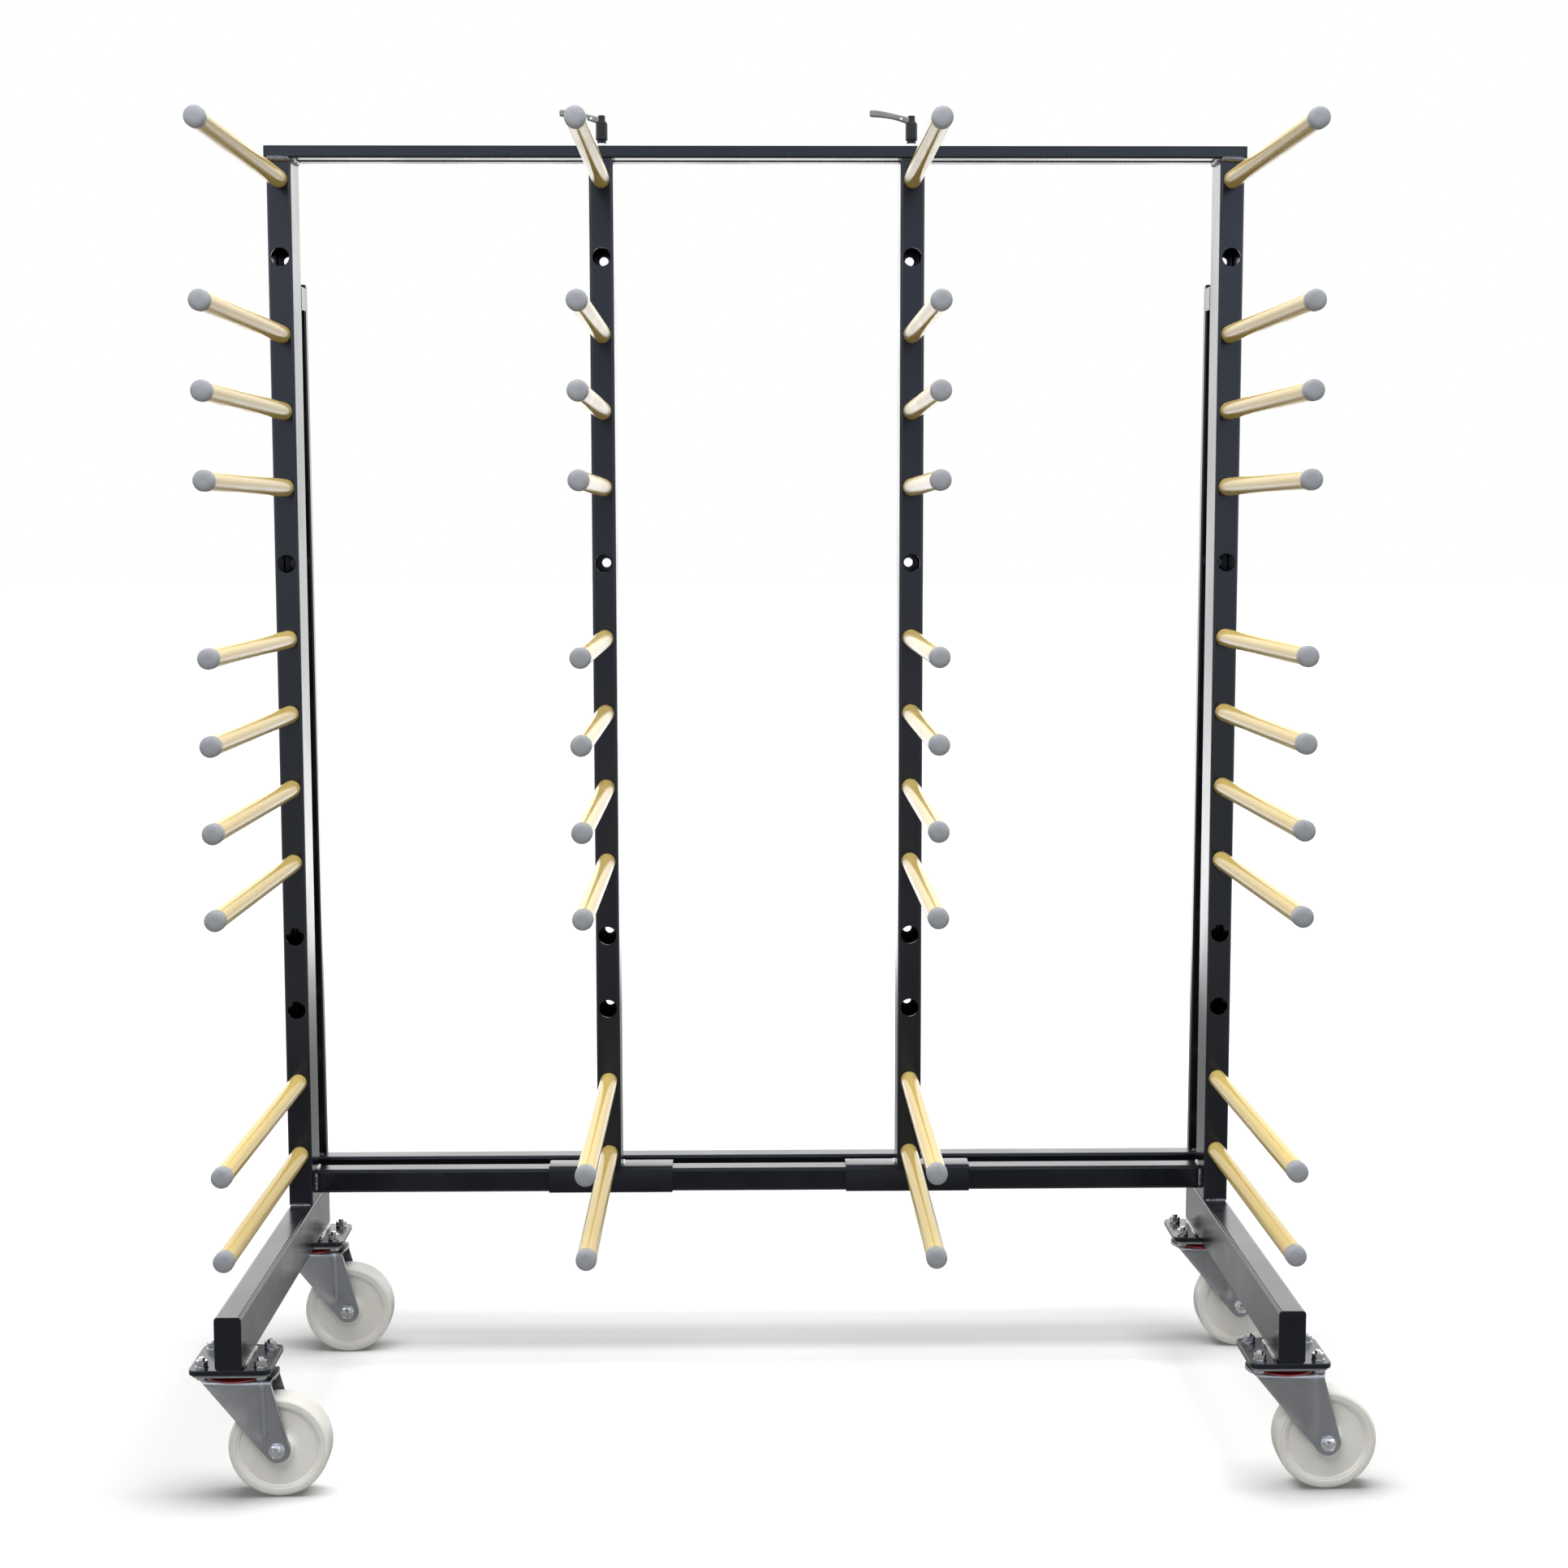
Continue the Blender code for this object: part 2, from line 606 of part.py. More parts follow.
def fork_mesh():
    """A swivel fork about its pivot: sealed head, crown, two pressed legs, axle bolt and nuts."""
    head_top = CASTER_HEIGHT - CASTER_PLATE - GAP
    crown_top = CASTER_HEIGHT - FORK_CROWN_DROP
    inner = HUB_BOSS_WIDTH / 2 + GAP
    outer = inner + FORK_SHEET
    seal = SEAL_DIAMETER / 2
    profile = [
        (0, head_top),
        (seal, head_top),
        (seal, head_top - SEAL_HEIGHT),
        (outer, crown_top),
        (outer, crown_top - FORK_SHEET / 2),
        (0, crown_top - FORK_SHEET / 2),
    ]
    fork = tool("fork_head", turned("fork", profile, HEAD_SIDES))
    crown = extruded("crown", [crown_outline(outer)], FORK_SHEET)
    shapes = [tool("fork_crown", crown, (0, 0, crown_top - FORK_SHEET))]
    leg = extruded("fork_leg", [fork_outline(crown_top)], FORK_SHEET)
    panel = extruded("fork_panel", [panel_outline(crown_top)], FORK_PANEL_PROUD + FORK_SHEET / 2)
    nut = cylinders("axle_nut", AXLE_NUT_WIDTH, AXLE_NUT_HEIGHT, 6, [(0, 0, 0)], ALONG_Y)
    for near in (-1, 1):
        leg_y = inner if near < 0 else outer
        panel_y = outer + FORK_PANEL_PROUD if near > 0 else outer - FORK_SHEET / 2
        shapes.append(tool("fork_leg", leg, (0, -leg_y if near < 0 else leg_y, 0), ALONG_Y))
        shapes.append(tool("fork_panel", panel, (0, -panel_y if near < 0 else panel_y, 0), ALONG_Y))
        nut_y = near * (outer + AXLE_NUT_HEIGHT / 2 - WELD_BITE)
        shapes.append(tool("axle_nut", nut, (CASTER_TRAIL, nut_y, AXLE_HEIGHT)))
    bolt_length = 2 * (outer + AXLE_NUT_HEIGHT + AXLE_END)
    bolt = cylinders("axle_bolt", AXLE_DIAMETER, bolt_length, BOLT_SIDES, [(0, 0, 0)], ALONG_Y)
    shapes.append(tool("axle_bolt", bolt, (CASTER_TRAIL, 0, AXLE_HEIGHT)))
    for shape in shapes:
        combine(fork, shape, "UNION")
    mesh = baked(fork)
    for shape in shapes:
        bpy.data.objects.remove(shape, do_unlink=True)
    mesh.materials.append(ZINC)
    return mesh


def wheel_mesh():
    """A nylon wheel turned about Z: hub boss, recessed web, rim and slightly crowned tread."""
    tread = WHEEL_DIAMETER / 2
    face = WHEEL_WIDTH / 2
    web = face - WHEEL_RECESS
    boss = HUB_BOSS_DIAMETER / 2
    bore = AXLE_DIAMETER / 2 + GAP
    half = [
        (bore, HUB_BOSS_WIDTH / 2),
        (boss, HUB_BOSS_WIDTH / 2),
        (boss, web),
        (tread - WHEEL_RIM - WHEEL_CROWN, web),
        (tread - WHEEL_RIM, face),
        (tread - WHEEL_CROWN, face),
        (tread, face - WHEEL_CROWN),
    ]
    profile = half + [(radius, -height) for radius, height in reversed(half)]
    mesh = turned("wheel", profile, WHEEL_SIDES)
    mesh.transform(Matrix.Rotation(math.pi / WHEEL_SIDES, 4, "Z"))
    mesh.materials.append(NYLON)
    return mesh


def add_casters():
    """Four forks on their pivots and four wheels on their axles, a flat of each wheel on the floor."""
    fork = fork_mesh()
    wheel = wheel_mesh()
    for end, y in (("front", PIVOT_FRONT_Y), ("rear", PIVOT_REAR_Y)):
        for side, sign in SIDES.items():
            x = sign * END_POST_X
            place(f"{end}_{side}_fork", fork, (x, y, 0))
            place(f"{end}_{side}_wheel", wheel, (x + CASTER_TRAIL, y, AXLE_HEIGHT), ALONG_Y)


def main():
    """Build the rack from the floor's casters up to the clamping levers."""
    add_casters()
    drills = post_drills()
    arm = arm_mesh()
    for side, sign in SIDES.items():
        add_foot(side, sign)
        add_end_post(side, sign, drills)
        add_arms(side + "_end", sign * END_POST_X, arm)
    add_front_rail()
    add_rear_frame()
    add_top_bars()
    for side, sign in SIDES.items():
        add_mid_post(side, sign, drills)
        add_arms(side + "_mid", sign * MID_POST_X, arm)
        add_lever(side, sign)


main()
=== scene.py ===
"""Looks of a mobile peg-arm rack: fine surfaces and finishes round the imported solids, in a white studio.

Metres, +Z up. The arms point to -Y and the frame is wide along X. Places and main sizes come from the
frame's own boxes and joints; the dataclasses below hold the small sizes that the boxes can't tell.
"""
from __future__ import annotations

import json
import logging
import math
from collections.abc import Callable
from dataclasses import dataclass, field, replace
from enum import Enum

import bmesh
import bpy
import numpy as np
from mathutils import Matrix, Vector

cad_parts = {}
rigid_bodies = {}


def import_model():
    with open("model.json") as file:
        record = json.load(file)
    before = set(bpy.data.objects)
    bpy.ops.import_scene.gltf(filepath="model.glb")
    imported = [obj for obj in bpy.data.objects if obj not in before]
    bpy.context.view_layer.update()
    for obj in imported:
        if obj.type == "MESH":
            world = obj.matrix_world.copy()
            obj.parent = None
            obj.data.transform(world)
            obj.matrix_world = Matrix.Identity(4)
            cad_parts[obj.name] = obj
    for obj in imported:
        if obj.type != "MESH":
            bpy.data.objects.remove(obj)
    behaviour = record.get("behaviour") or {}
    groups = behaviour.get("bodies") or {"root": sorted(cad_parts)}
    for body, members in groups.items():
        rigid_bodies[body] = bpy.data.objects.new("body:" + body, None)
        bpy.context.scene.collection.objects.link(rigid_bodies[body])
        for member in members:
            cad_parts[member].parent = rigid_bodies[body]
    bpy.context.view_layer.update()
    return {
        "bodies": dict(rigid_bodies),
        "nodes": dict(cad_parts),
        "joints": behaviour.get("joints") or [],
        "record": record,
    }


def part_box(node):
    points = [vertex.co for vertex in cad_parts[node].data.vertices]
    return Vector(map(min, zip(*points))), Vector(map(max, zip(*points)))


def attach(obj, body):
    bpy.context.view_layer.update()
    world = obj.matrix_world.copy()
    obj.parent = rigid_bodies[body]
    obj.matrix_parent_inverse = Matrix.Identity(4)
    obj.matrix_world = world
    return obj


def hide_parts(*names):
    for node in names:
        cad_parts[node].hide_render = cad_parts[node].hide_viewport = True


LOG = logging.getLogger("peg_arm_rack")

Array = np.ndarray
Colour = tuple[float, float, float]
Pair = tuple[float, float]
Point = tuple[float, float, float]
Stops = tuple[Pair, ...]
Socket = bpy.types.NodeSocket

MERGE = 1e-6  # points closer than this are one point
HOLD = 0.0003  # how far a holding row lies from the edge that it keeps crisp
SHARP = math.radians(32)  # edges that bend more than this shade sharp
SIDES = ("left", "right")
ENDS = ("front", "rear")


class Slot(Enum):
    """The record's material slots."""

    FRAME = "frame_black"
    LEVER = "lever_black"
    ARM = "arm_cream"
    ZINC = "zinc"
    NYLON = "nylon_white"


class Axis(Enum):
    """Which way a shape that was drawn along its own Z is laid in the rack: rows are its x, y and z."""

    RIGHT = ((0, 1, 0), (0, 0, 1), (1, 0, 0))
    FRONT = ((1, 0, 0), (0, 0, 1), (0, -1, 0))
    BACK = ((-1, 0, 0), (0, 0, 1), (0, 1, 0))

    def at(self, x: float, y: float, z: float) -> Array:
        """Return the 4 x 4 matrix that lays a shape this way with its origin at a point."""
        matrix = np.eye(4)
        matrix[:3, :3] = np.array(self.value, float).T
        matrix[:3, 3] = (x, y, z)
        return matrix


@dataclass
class Shape:
    """A surface before it becomes a mesh: points, faces and the number of its finish."""

    points: Array
    faces: list[list[int]]
    finish: int = 0

    def placed(self, matrix: Array) -> Shape:
        """Return the shape carried by a 4 x 4 matrix."""
        return replace(self, points=self.points @ matrix[:3, :3].T + matrix[:3, 3])

    def moved(self, x: float, y: float, z: float) -> Shape:
        """Return the shape shifted by three lengths."""
        return replace(self, points=self.points + np.array((x, y, z)))

    def dressed(self, finish: int) -> Shape:
        """Return the shape with another finish number."""
        return replace(self, finish=finish)


@dataclass(frozen=True)
class Box:
    """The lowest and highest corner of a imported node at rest."""

    low: Array
    high: Array

    @classmethod
    def of(cls, node: str) -> Box:
        """Read a node's box from the frame."""
        low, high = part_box(node)
        return cls(np.array(low), np.array(high))

    @property
    def middle(self) -> Array:
        """The point half-way between both corners."""
        return (self.low + self.high) / 2

    @property
    def size(self) -> Array:
        """The three side lengths."""
        return self.high - self.low


def loft(rings: Array, capped: bool = True, looped: bool = False) -> Shape:
    """Skin a stack of closed rings with four-sided faces.

    Args:
        rings: Points as an array of (ring, point, 3).
        capped: Whether the first and last ring are closed with a flat face.
        looped: Whether the last ring joins the first one again.

    Returns:
        The skin, whose faces look outwards where the rings turn left round their path.
    """
    count, size = rings.shape[:2]
    ring = np.arange(count if looped else count - 1)[:, None] * size
    step = np.arange(size)[None, :]
    after = (step + 1) % size
    above = (ring + size) % (count * size)
    corners = np.broadcast_arrays(ring + step, ring + after, above + after, above + step)
    faces = np.stack(corners, axis=-1).reshape(-1, 4).tolist()
    if capped and not looped:
        faces.append(np.arange(size)[::-1].tolist())
        faces.append((np.arange(size) + (count - 1) * size).tolist())
    return Shape(rings.reshape(-1, 3), faces)


def turned(profile: Array | list[Pair], steps: int = 48) -> Shape:
    """Turn a profile about Z: x = r cos a, y = r sin a, z = h for every row and every angle.

    Args:
        profile: Rows of (radius r, height h) along the outside, from the bottom up.
        steps: How many angles a full turn has.

    Returns:
        The turned skin; rows of radius 0 become poles.
    """
    rows = np.array(profile, float)
    angle = np.linspace(0, math.tau, steps, endpoint=False)
    flat = rows[:, None, :1] * np.stack([np.cos(angle), np.sin(angle)], axis=-1)[None]
    height = np.broadcast_to(rows[:, None, 1:], (*flat.shape[:2], 1))
    return loft(np.concatenate([flat, height], axis=-1), capped=False)


def rod(radius: float, low: float, high: float, steps: int = 48) -> Shape:
    """A plain round bar along Z."""
    return turned([(0, low), (radius, low), (radius, high), (0, high)], steps)


def arc(centre: Pair, radius: float, start: float, end: float, steps: int = 6) -> Array:
    """Points on a circle from one angle to another, both in degrees: c + r (cos a, sin a)."""
    angle = np.radians(np.linspace(start, end, steps + 1))
    return np.array(centre) + radius * np.stack([np.cos(angle), np.sin(angle)], axis=-1)


def eased(share: Array) -> Array:
    """Ease a share in and out: 3 s^2 - 2 s^3."""
    return share ** 2 * (3 - 2 * share)


def rounded_rectangle(width: float, height: float, radius: float, steps: int = 6) -> Array:
    """Outline of a rectangle with round corners, counter-clockwise round the origin.

    Each quarter arc has a holding point a hair past both its ends, so that the flat sides shade flat.

    Args:
        width: Size along the outline's x.
        height: Size along its y.
        radius: Corner radius.
        steps: Straight pieces in a quarter arc.

    Returns:
        An array of (point, 2).
    """
    quarter = arc((0, 0), radius, 0, 90, steps)
    quarter = np.concatenate([[[radius, -HOLD]], quarter, [[-HOLD, radius]]])
    turn = np.arange(4) * math.pi / 2
    spin = np.stack([np.cos(turn), -np.sin(turn), np.sin(turn), np.cos(turn)], axis=-1).reshape(4, 2, 2)
    reach = np.array((width / 2 - radius, height / 2 - radius))
    centres = reach * np.array(((1, 1), (-1, 1), (-1, -1), (1, -1)))
    return (np.einsum("kij,pj->kpi", spin, quarter) + centres[:, None]).reshape(-1, 2)


def inset(outline: Array, distance: float) -> Array:
    """Move an outline inwards: each corner goes along the sum of its two sides' inward normals."""
    side = np.roll(outline, -1, axis=0) - outline
    side = side / np.linalg.norm(side, axis=1, keepdims=True)
    normal = np.stack([-side[:, 1], side[:, 0]], axis=-1)
    before = np.roll(normal, 1, axis=0)
    share = 1 + np.sum(normal * before, axis=1, keepdims=True)
    return outline + distance * (normal + before) / share


def levels(outline: Array, insets: Array, heights: Array) -> Array:
    """Stack one outline at several heights, each copy drawn in by its own inset, as (ring, point, 3)."""
    rings = [np.column_stack([inset(outline, d), np.full(len(outline), z)]) for d, z in zip(insets, heights)]
    return np.stack(rings)


def prism(outline: Array, low: float, high: float, edge: float = 0.0006, steps: int = 3) -> Shape:
    """Draw an outline up from z = low to z = high and round both rims over.

    On a rim, inset = e (1 - sin t) while the height gained is e (1 - cos t), for t up to a quarter turn.

    Args:
        outline: Counter-clockwise points, (point, 2).
        low: Height of the lower face.
        high: Height of the upper face.
        edge: Radius of the rims.
        steps: Straight pieces in a rim's quarter arc.

    Returns:
        The closed solid's skin.
    """
    t = np.linspace(0, math.pi / 2, steps + 1)
    drawn_in = np.concatenate([[edge + HOLD], edge * (1 - np.sin(t)), [0]])
    gained = np.concatenate([[0], edge * (1 - np.cos(t)), [edge + HOLD]])
    insets = np.concatenate([drawn_in, drawn_in[::-1]])
    heights = np.concatenate([low + gained, (high - gained)[::-1]])
    return loft(levels(outline, insets, heights))


def hollow(outline: Array, wall: float, low: float, high: float) -> Shape:
    """An open tube: its outside goes up, its inside, one wall further in, comes down again."""
    return loft(levels(outline, np.array((0, 0, wall, wall)), np.array((low, high, high, low))), looped=True)


def hexagon(flats: float, low: float, high: float, chamfer: float = 0.515, steps: int = 48) -> Shape:
    """A bolt head or nut along Z with both faces chamfered.

    The side lies at r = f / (2 cos(a mod 60 - 30)); outside the chamfer's circle a corner's height falls by
    its overshoot times tan 30.

    Args:
        flats: Width across the flats, f.
        low: Height of the lower face.
        high: Height of the upper face.
        chamfer: Radius of the chamfer's circle as a share of f.
        steps: How many angles a full turn has.

    Returns:
        The closed skin.
    """
    angle = np.linspace(0, math.tau, steps, endpoint=False)
    radius = flats / 2 / np.cos(np.mod(angle, math.pi / 3) - math.pi / 6)
    circle = chamfer * flats
    fall = np.maximum(radius - circle, 0) * math.tan(math.pi / 6)
    around = np.stack([np.cos(angle), np.sin(angle)], axis=-1)
    face = np.minimum(radius, circle)
    rows = [
        (face, np.full_like(radius, low)), (radius, low + fall),
        (radius, high - fall), (face, np.full_like(radius, high))]
    return loft(np.stack([np.column_stack([around * r[:, None], z]) for r, z in rows]))


def threaded(
        radius: float, low: float, high: float, pitch: float = 0.00125, root: float = 0.9,
        tip: float = 0.8) -> Shape:
    """A bolt end along Z: grooves one pitch apart down to the root's share of the radius, then a tip."""
    turns = max(int((high - low) / pitch), 1)
    crest = low + np.arange(turns) * pitch
    rows = (np.full(turns, radius), crest, np.full(turns, radius * root), crest + pitch / 2)
    ridges = np.stack(rows, axis=-1).reshape(-1, 2)
    return turned([(0, low), *ridges, (radius * tip, high), (0, high)], steps=24)


def bead(
        start: Array, end: Array, radius: float, seed: int, step: float = 0.0011, wave: float = 0.004,
        tones: int = 7, sides: int = 14) -> Shape:
    """A weld bead between two points: a round bar whose girth ripples and closes to a point at both ends.

    The girth at share s is r (1 - |2 s - 1|^6)^(1/2) times the ripple.

    Args:
        start: First end.
        end: Other end.
        radius: Girth radius.
        seed: Number that sets the ripple's own irregularity.
        step: Length between two rings.
        wave: Length of one ripple.
        tones: How many waves make up the irregularity.
        sides: Points in a ring.

    Returns:
        The closed skin.
    """
    along = end - start
    length = float(np.linalg.norm(along))
    share = np.linspace(0, 1, max(int(length / step), 24))
    wander = np.random.default_rng(seed).normal(size=(2, tones))
    phase = share * length / wave * math.tau
    waves = np.sin(np.outer(share, np.arange(1, tones + 1)) * math.pi * 3 + wander[1]) @ wander[0] / tones
    ripple, drift = 0.045, 0.12
    girth = radius * np.sqrt(np.maximum(1 - np.abs(2 * share - 1) ** 6, 0))
    girth = girth * (1 + ripple * np.sin(phase + 2 * waves) + drift * waves)
    forward = along / length
    side = np.cross(forward, (0.31, 0.47, 0.83))  # any direction that no bead runs along
    side = side / np.linalg.norm(side)
    over = np.cross(forward, side)
    angle = np.linspace(0, math.tau, sides, endpoint=False)
    ring = np.cos(angle)[:, None] * side + np.sin(angle)[:, None] * over
    return loft(start + share[:, None, None] * along + girth[:, None, None] * ring[None], capped=False)


class NodeSheet:
    """Adds and links shader nodes in one tree."""

    def __init__(self, tree: bpy.types.NodeTree) -> None:
        """Start on a tree."""
        self.tree = tree

    def add(self, kind: str, settings: dict | None = None, **inputs: object) -> bpy.types.Node:
        """Add a node, set its properties and fill or link its inputs.

        Args:
            kind: Blender's name of the node's type.
            settings: Properties of the node itself.
            **inputs: Values by input name, with _ for a space; a socket is linked instead of copied.

        Returns:
            The new node.
        """
        node = self.tree.nodes.new(kind)
        for name, value in (settings or {}).items():
            setattr(node, name, value)
        self.fill(node, {name.replace("_", " "): value for name, value in inputs.items()})
        return node

    def feed(self, target: Socket, value: object) -> None:
        """Link a socket to an input, or set the input's own value."""
        if isinstance(value, Socket):
            self.tree.links.new(value, target)
        else:
            target.default_value = value

    def maths(self, operation: str, first: object, second: object = 0.0) -> Socket:
        """Add a Math node on two values and return its result."""
        node = self.add("ShaderNodeMath", {"operation": operation})
        self.feed(node.inputs[0], first)
        self.feed(node.inputs[1], second)
        return node.outputs[0]

    def span(self, value: object, start: float, end: float, low: float = 0.0, high: float = 1.0) -> Socket:
        """Ease a value from the range start..end to the range low..high, clamped, and return the result."""
        return self.add(
            "ShaderNodeMapRange", {"interpolation_type": "SMOOTHSTEP"}, Value=value, From_Min=start,
            From_Max=end, To_Min=low, To_Max=high).outputs[0]

    def ramp(self, value: object, stops: Stops) -> Socket:
        """Follow a line through several stops.

        Args:
            value: Where on the line; held at its ends.
            stops: Pairs of place and height, from the lowest place up.

        Returns:
            The line's height there.
        """
        places, heights = np.array(stops).T
        share = self.add("ShaderNodeMapRange", Value=value, From_Min=places[0], From_Max=places[-1])
        node = self.add("ShaderNodeValToRGB", Fac=share.outputs[0])
        elements = node.color_ramp.elements
        while len(elements) < len(places):
            elements.new(1.0)
        top = heights.max()
        for element, place, height in zip(elements, (places - places[0]) / np.ptp(places), heights / top):
            element.position = place
            element.color = (height, height, height, 1)
        return self.product(node.outputs["Color"], top)

    def mix(self, share: object, first: object, second: object, kind: str = "RGBA") -> Socket:
        """Mix two colours, or two numbers where the kind is FLOAT, and return the result."""
        node = self.add("ShaderNodeMix", {"data_type": kind}, Factor=share, A=first, B=second)
        return node.outputs["Result"]

    def noise(self, place: Socket, scale: object, detail: float, roughness: float = 0.5) -> Socket:
        """Add a noise texture and return its grey value."""
        node = self.add("ShaderNodeTexNoise", Vector=place, Scale=scale, Detail=detail, Roughness=roughness)
        return node.outputs["Fac"]

    def product(self, first: object, *others: object) -> Socket:
        """Multiply values from the first to the last and return the result."""
        for other in others:
            first = self.maths("MULTIPLY", first, other)
        return first

    def fill(self, node: bpy.types.Node, values: dict[str, object]) -> None:
        """Fill or link a node's inputs by their full names."""
        for name, value in values.items():
            self.feed(node.inputs[name], value)


def new_material(name: str) -> tuple[bpy.types.Material, NodeSheet, bpy.types.Node, Socket]:
    """Start a material and return it with its sheet, its shader and its Object coordinates."""
    material = bpy.data.materials.new(name)
    material.use_nodes = True
    sheet = NodeSheet(material.node_tree)
    place = sheet.add("ShaderNodeTexCoord").outputs["Object"]
    return material, sheet, material.node_tree.nodes["Principled BSDF"], place


def show(item: bpy.types.Object) -> bpy.types.Object:
    """Put an object into the scene and return it."""
    bpy.context.scene.collection.objects.link(item)
    return item


class Effects:
    """Surface effects that several finishes share, each a node group that is built once."""

    def __init__(self) -> None:
        """Build the groups."""
        self.clouds = self.make("soft_clouds", "Scale", "Mask", self.draw_clouds)
        self.grain = self.make("fine_grain", "Scale", "Height", self.draw_grain)
        self.scuffs = self.make("rubbed_spots", "Amount", "Mask", self.draw_scuffs)
        self.dust = self.make("settled_dust", "Amount", "Mask", self.draw_dust)

    @staticmethod
    def make(
            name: str, setting: str, output: str,
            draw: Callable[[NodeSheet, Socket, Socket], Socket]) -> bpy.types.NodeTree:
        """Make a group that turns a place and one setting into one number.

        Args:
            name: The group's name.
            setting: Name of the input beside Vector.
            output: Name of the output.
            draw: Adds the group's nodes between both inputs and returns what goes out.

        Returns:
            The group.
        """
        group = bpy.data.node_groups.new(name, "ShaderNodeTree")
        sockets = (("Vector", "INPUT", "Vector"), (setting, "INPUT", "Float"), (output, "OUTPUT", "Float"))
        for label, way, kind in sockets:
            group.interface.new_socket(name=label, in_out=way, socket_type=f"NodeSocket{kind}")
        sheet = NodeSheet(group)
        given = sheet.add("NodeGroupInput").outputs
        sheet.add("NodeGroupOutput", **{output: draw(sheet, given["Vector"], given[setting])})
        return group

    @staticmethod
    def draw_clouds(sheet: NodeSheet, place: Socket, scale: Socket) -> Socket:
        """Soft patches a few centimetres wide: low noise, stretched to the full range."""
        return sheet.span(sheet.noise(place, scale, detail=5.0, roughness=0.55), 0.32, 0.68)

    @staticmethod
    def draw_grain(sheet: NodeSheet, place: Socket, scale: Socket) -> Socket:
        """Fine unevenness of a coated or moulded surface: two noises, one five times finer."""
        coarse = sheet.noise(place, scale, detail=2.0)
        fine = sheet.noise(place, sheet.product(scale, 5.0), detail=1.0)
        return sheet.maths("ADD", coarse, sheet.product(fine, 0.3))

    @staticmethod
    def draw_scuffs(sheet: NodeSheet, place: Socket, amount: Socket) -> Socket:
        """Sparse rubbed spots: fine noise that shows only inside the high patches of a coarse one."""
        areas = sheet.span(sheet.noise(place, 9.0, detail=3.0), 0.55, 0.72)
        spots = sheet.span(sheet.noise(place, 210.0, detail=6.0, roughness=0.7), 0.56, 0.66)
        return sheet.product(areas, spots, amount)

    @staticmethod
    def draw_dust(sheet: NodeSheet, place: Socket, amount: Socket) -> Socket:
        """Dust that settles on faces that look up, broken by noise."""
        normal = sheet.add("ShaderNodeNewGeometry").outputs["Normal"]
        upward = sheet.span(sheet.add("ShaderNodeSeparateXYZ", Vector=normal).outputs["Z"], 0.55, 1.0)
        broken = sheet.span(sheet.noise(place, 38.0, detail=8.0, roughness=0.65), 0.35, 0.75, low=0.2)
        return sheet.product(upward, broken, amount)


@dataclass(frozen=True)
class Finish:
    """One surface finish: what its paint, plastic or plating looks like close to."""

    name: str
    slot: Slot
    colour: Colour
    cloud_colour: Colour
    cloud_scale: float
    roughness: Pair
    grain_scale: float
    grain_depth: float = 0.00001
    metallic: float = 0.0
    specular: float = 0.5
    specular_tint: Colour = (1.0, 1.0, 1.0)
    coat: float = 0.0
    coat_roughness: float = 0.1
    subsurface: float = 0.0
    subsurface_scale: float = 0.004
    scuffs: float = 0.0
    scuff_colour: Colour = (0.2, 0.2, 0.2)
    scuff_roughness: float = 0.25
    dust: float = 0.0
    dust_colour: Colour = (0.42, 0.40, 0.37)
    dust_roughness: float = 0.5

    def material(self, effects: Effects) -> bpy.types.Material:
        """Build the Blender material.

        Args:
            effects: The shared node groups.

        Returns:
            A material whose colour, roughness and normal follow Object coordinates.
        """
        material, sheet, shader, place = new_material(self.name)

        def effect(tree: bpy.types.NodeTree, **setting: float) -> Socket:
            """Place a shared group and return its output."""
            return sheet.add("ShaderNodeGroup", {"node_tree": tree}, Vector=place, **setting).outputs[0]

        clouds = effect(effects.clouds, Scale=self.cloud_scale)
        grain = effect(effects.grain, Scale=self.grain_scale)
        colour = sheet.mix(clouds, (*self.colour, 1), (*self.cloud_colour, 1))
        roughness = sheet.span(clouds, 0.0, 1.0, *self.roughness)
        for tree, amount, tint, extra in (
                (effects.scuffs, self.scuffs, self.scuff_colour, self.scuff_roughness),
                (effects.dust, self.dust, self.dust_colour, self.dust_roughness)):
            if amount:
                mask = effect(tree, Amount=amount)
                colour = sheet.mix(mask, colour, (*tint, 1))
                roughness = sheet.maths("ADD", roughness, sheet.product(mask, extra))
        bump = sheet.add("ShaderNodeBump", Height=grain, Strength=1.0, Distance=self.grain_depth)
        sheet.fill(shader, {
            "Base Color": colour, "Roughness": roughness, "Normal": bump.outputs["Normal"],
            "Metallic": self.metallic, "Specular IOR Level": self.specular,
            "Specular Tint": (*self.specular_tint, 1), "Coat Weight": self.coat,
            "Coat Roughness": self.coat_roughness, "Subsurface Weight": self.subsurface,
            "Subsurface Scale": self.subsurface_scale})
        return material


POWDER_COAT = Finish(
    "black_powder_coat", Slot.FRAME, (0.0042, 0.0048, 0.0060), (0.0058, 0.0063, 0.0076), 6.0, (0.17, 0.23),
    grain_scale=300.0, grain_depth=0.000005, specular_tint=(0.54, 0.58, 0.66), scuffs=0.20,
    scuff_colour=(0.045, 0.045, 0.045), dust=0.05)
WELD_COAT = Finish(
    "coated_weld", Slot.FRAME, (0.006, 0.0065, 0.0075), (0.012, 0.012, 0.013), 90.0, (0.08, 0.14),
    grain_scale=300.0, grain_depth=0.000012, specular=1.0, coat=1.0, coat_roughness=0.06)
PLUG_PLASTIC = Finish(
    "black_plug_plastic", Slot.FRAME, (0.008, 0.008, 0.009), (0.011, 0.011, 0.012), 30.0, (0.42, 0.52),
    grain_scale=900.0, specular_tint=(0.5, 0.5, 0.5), dust=0.08)
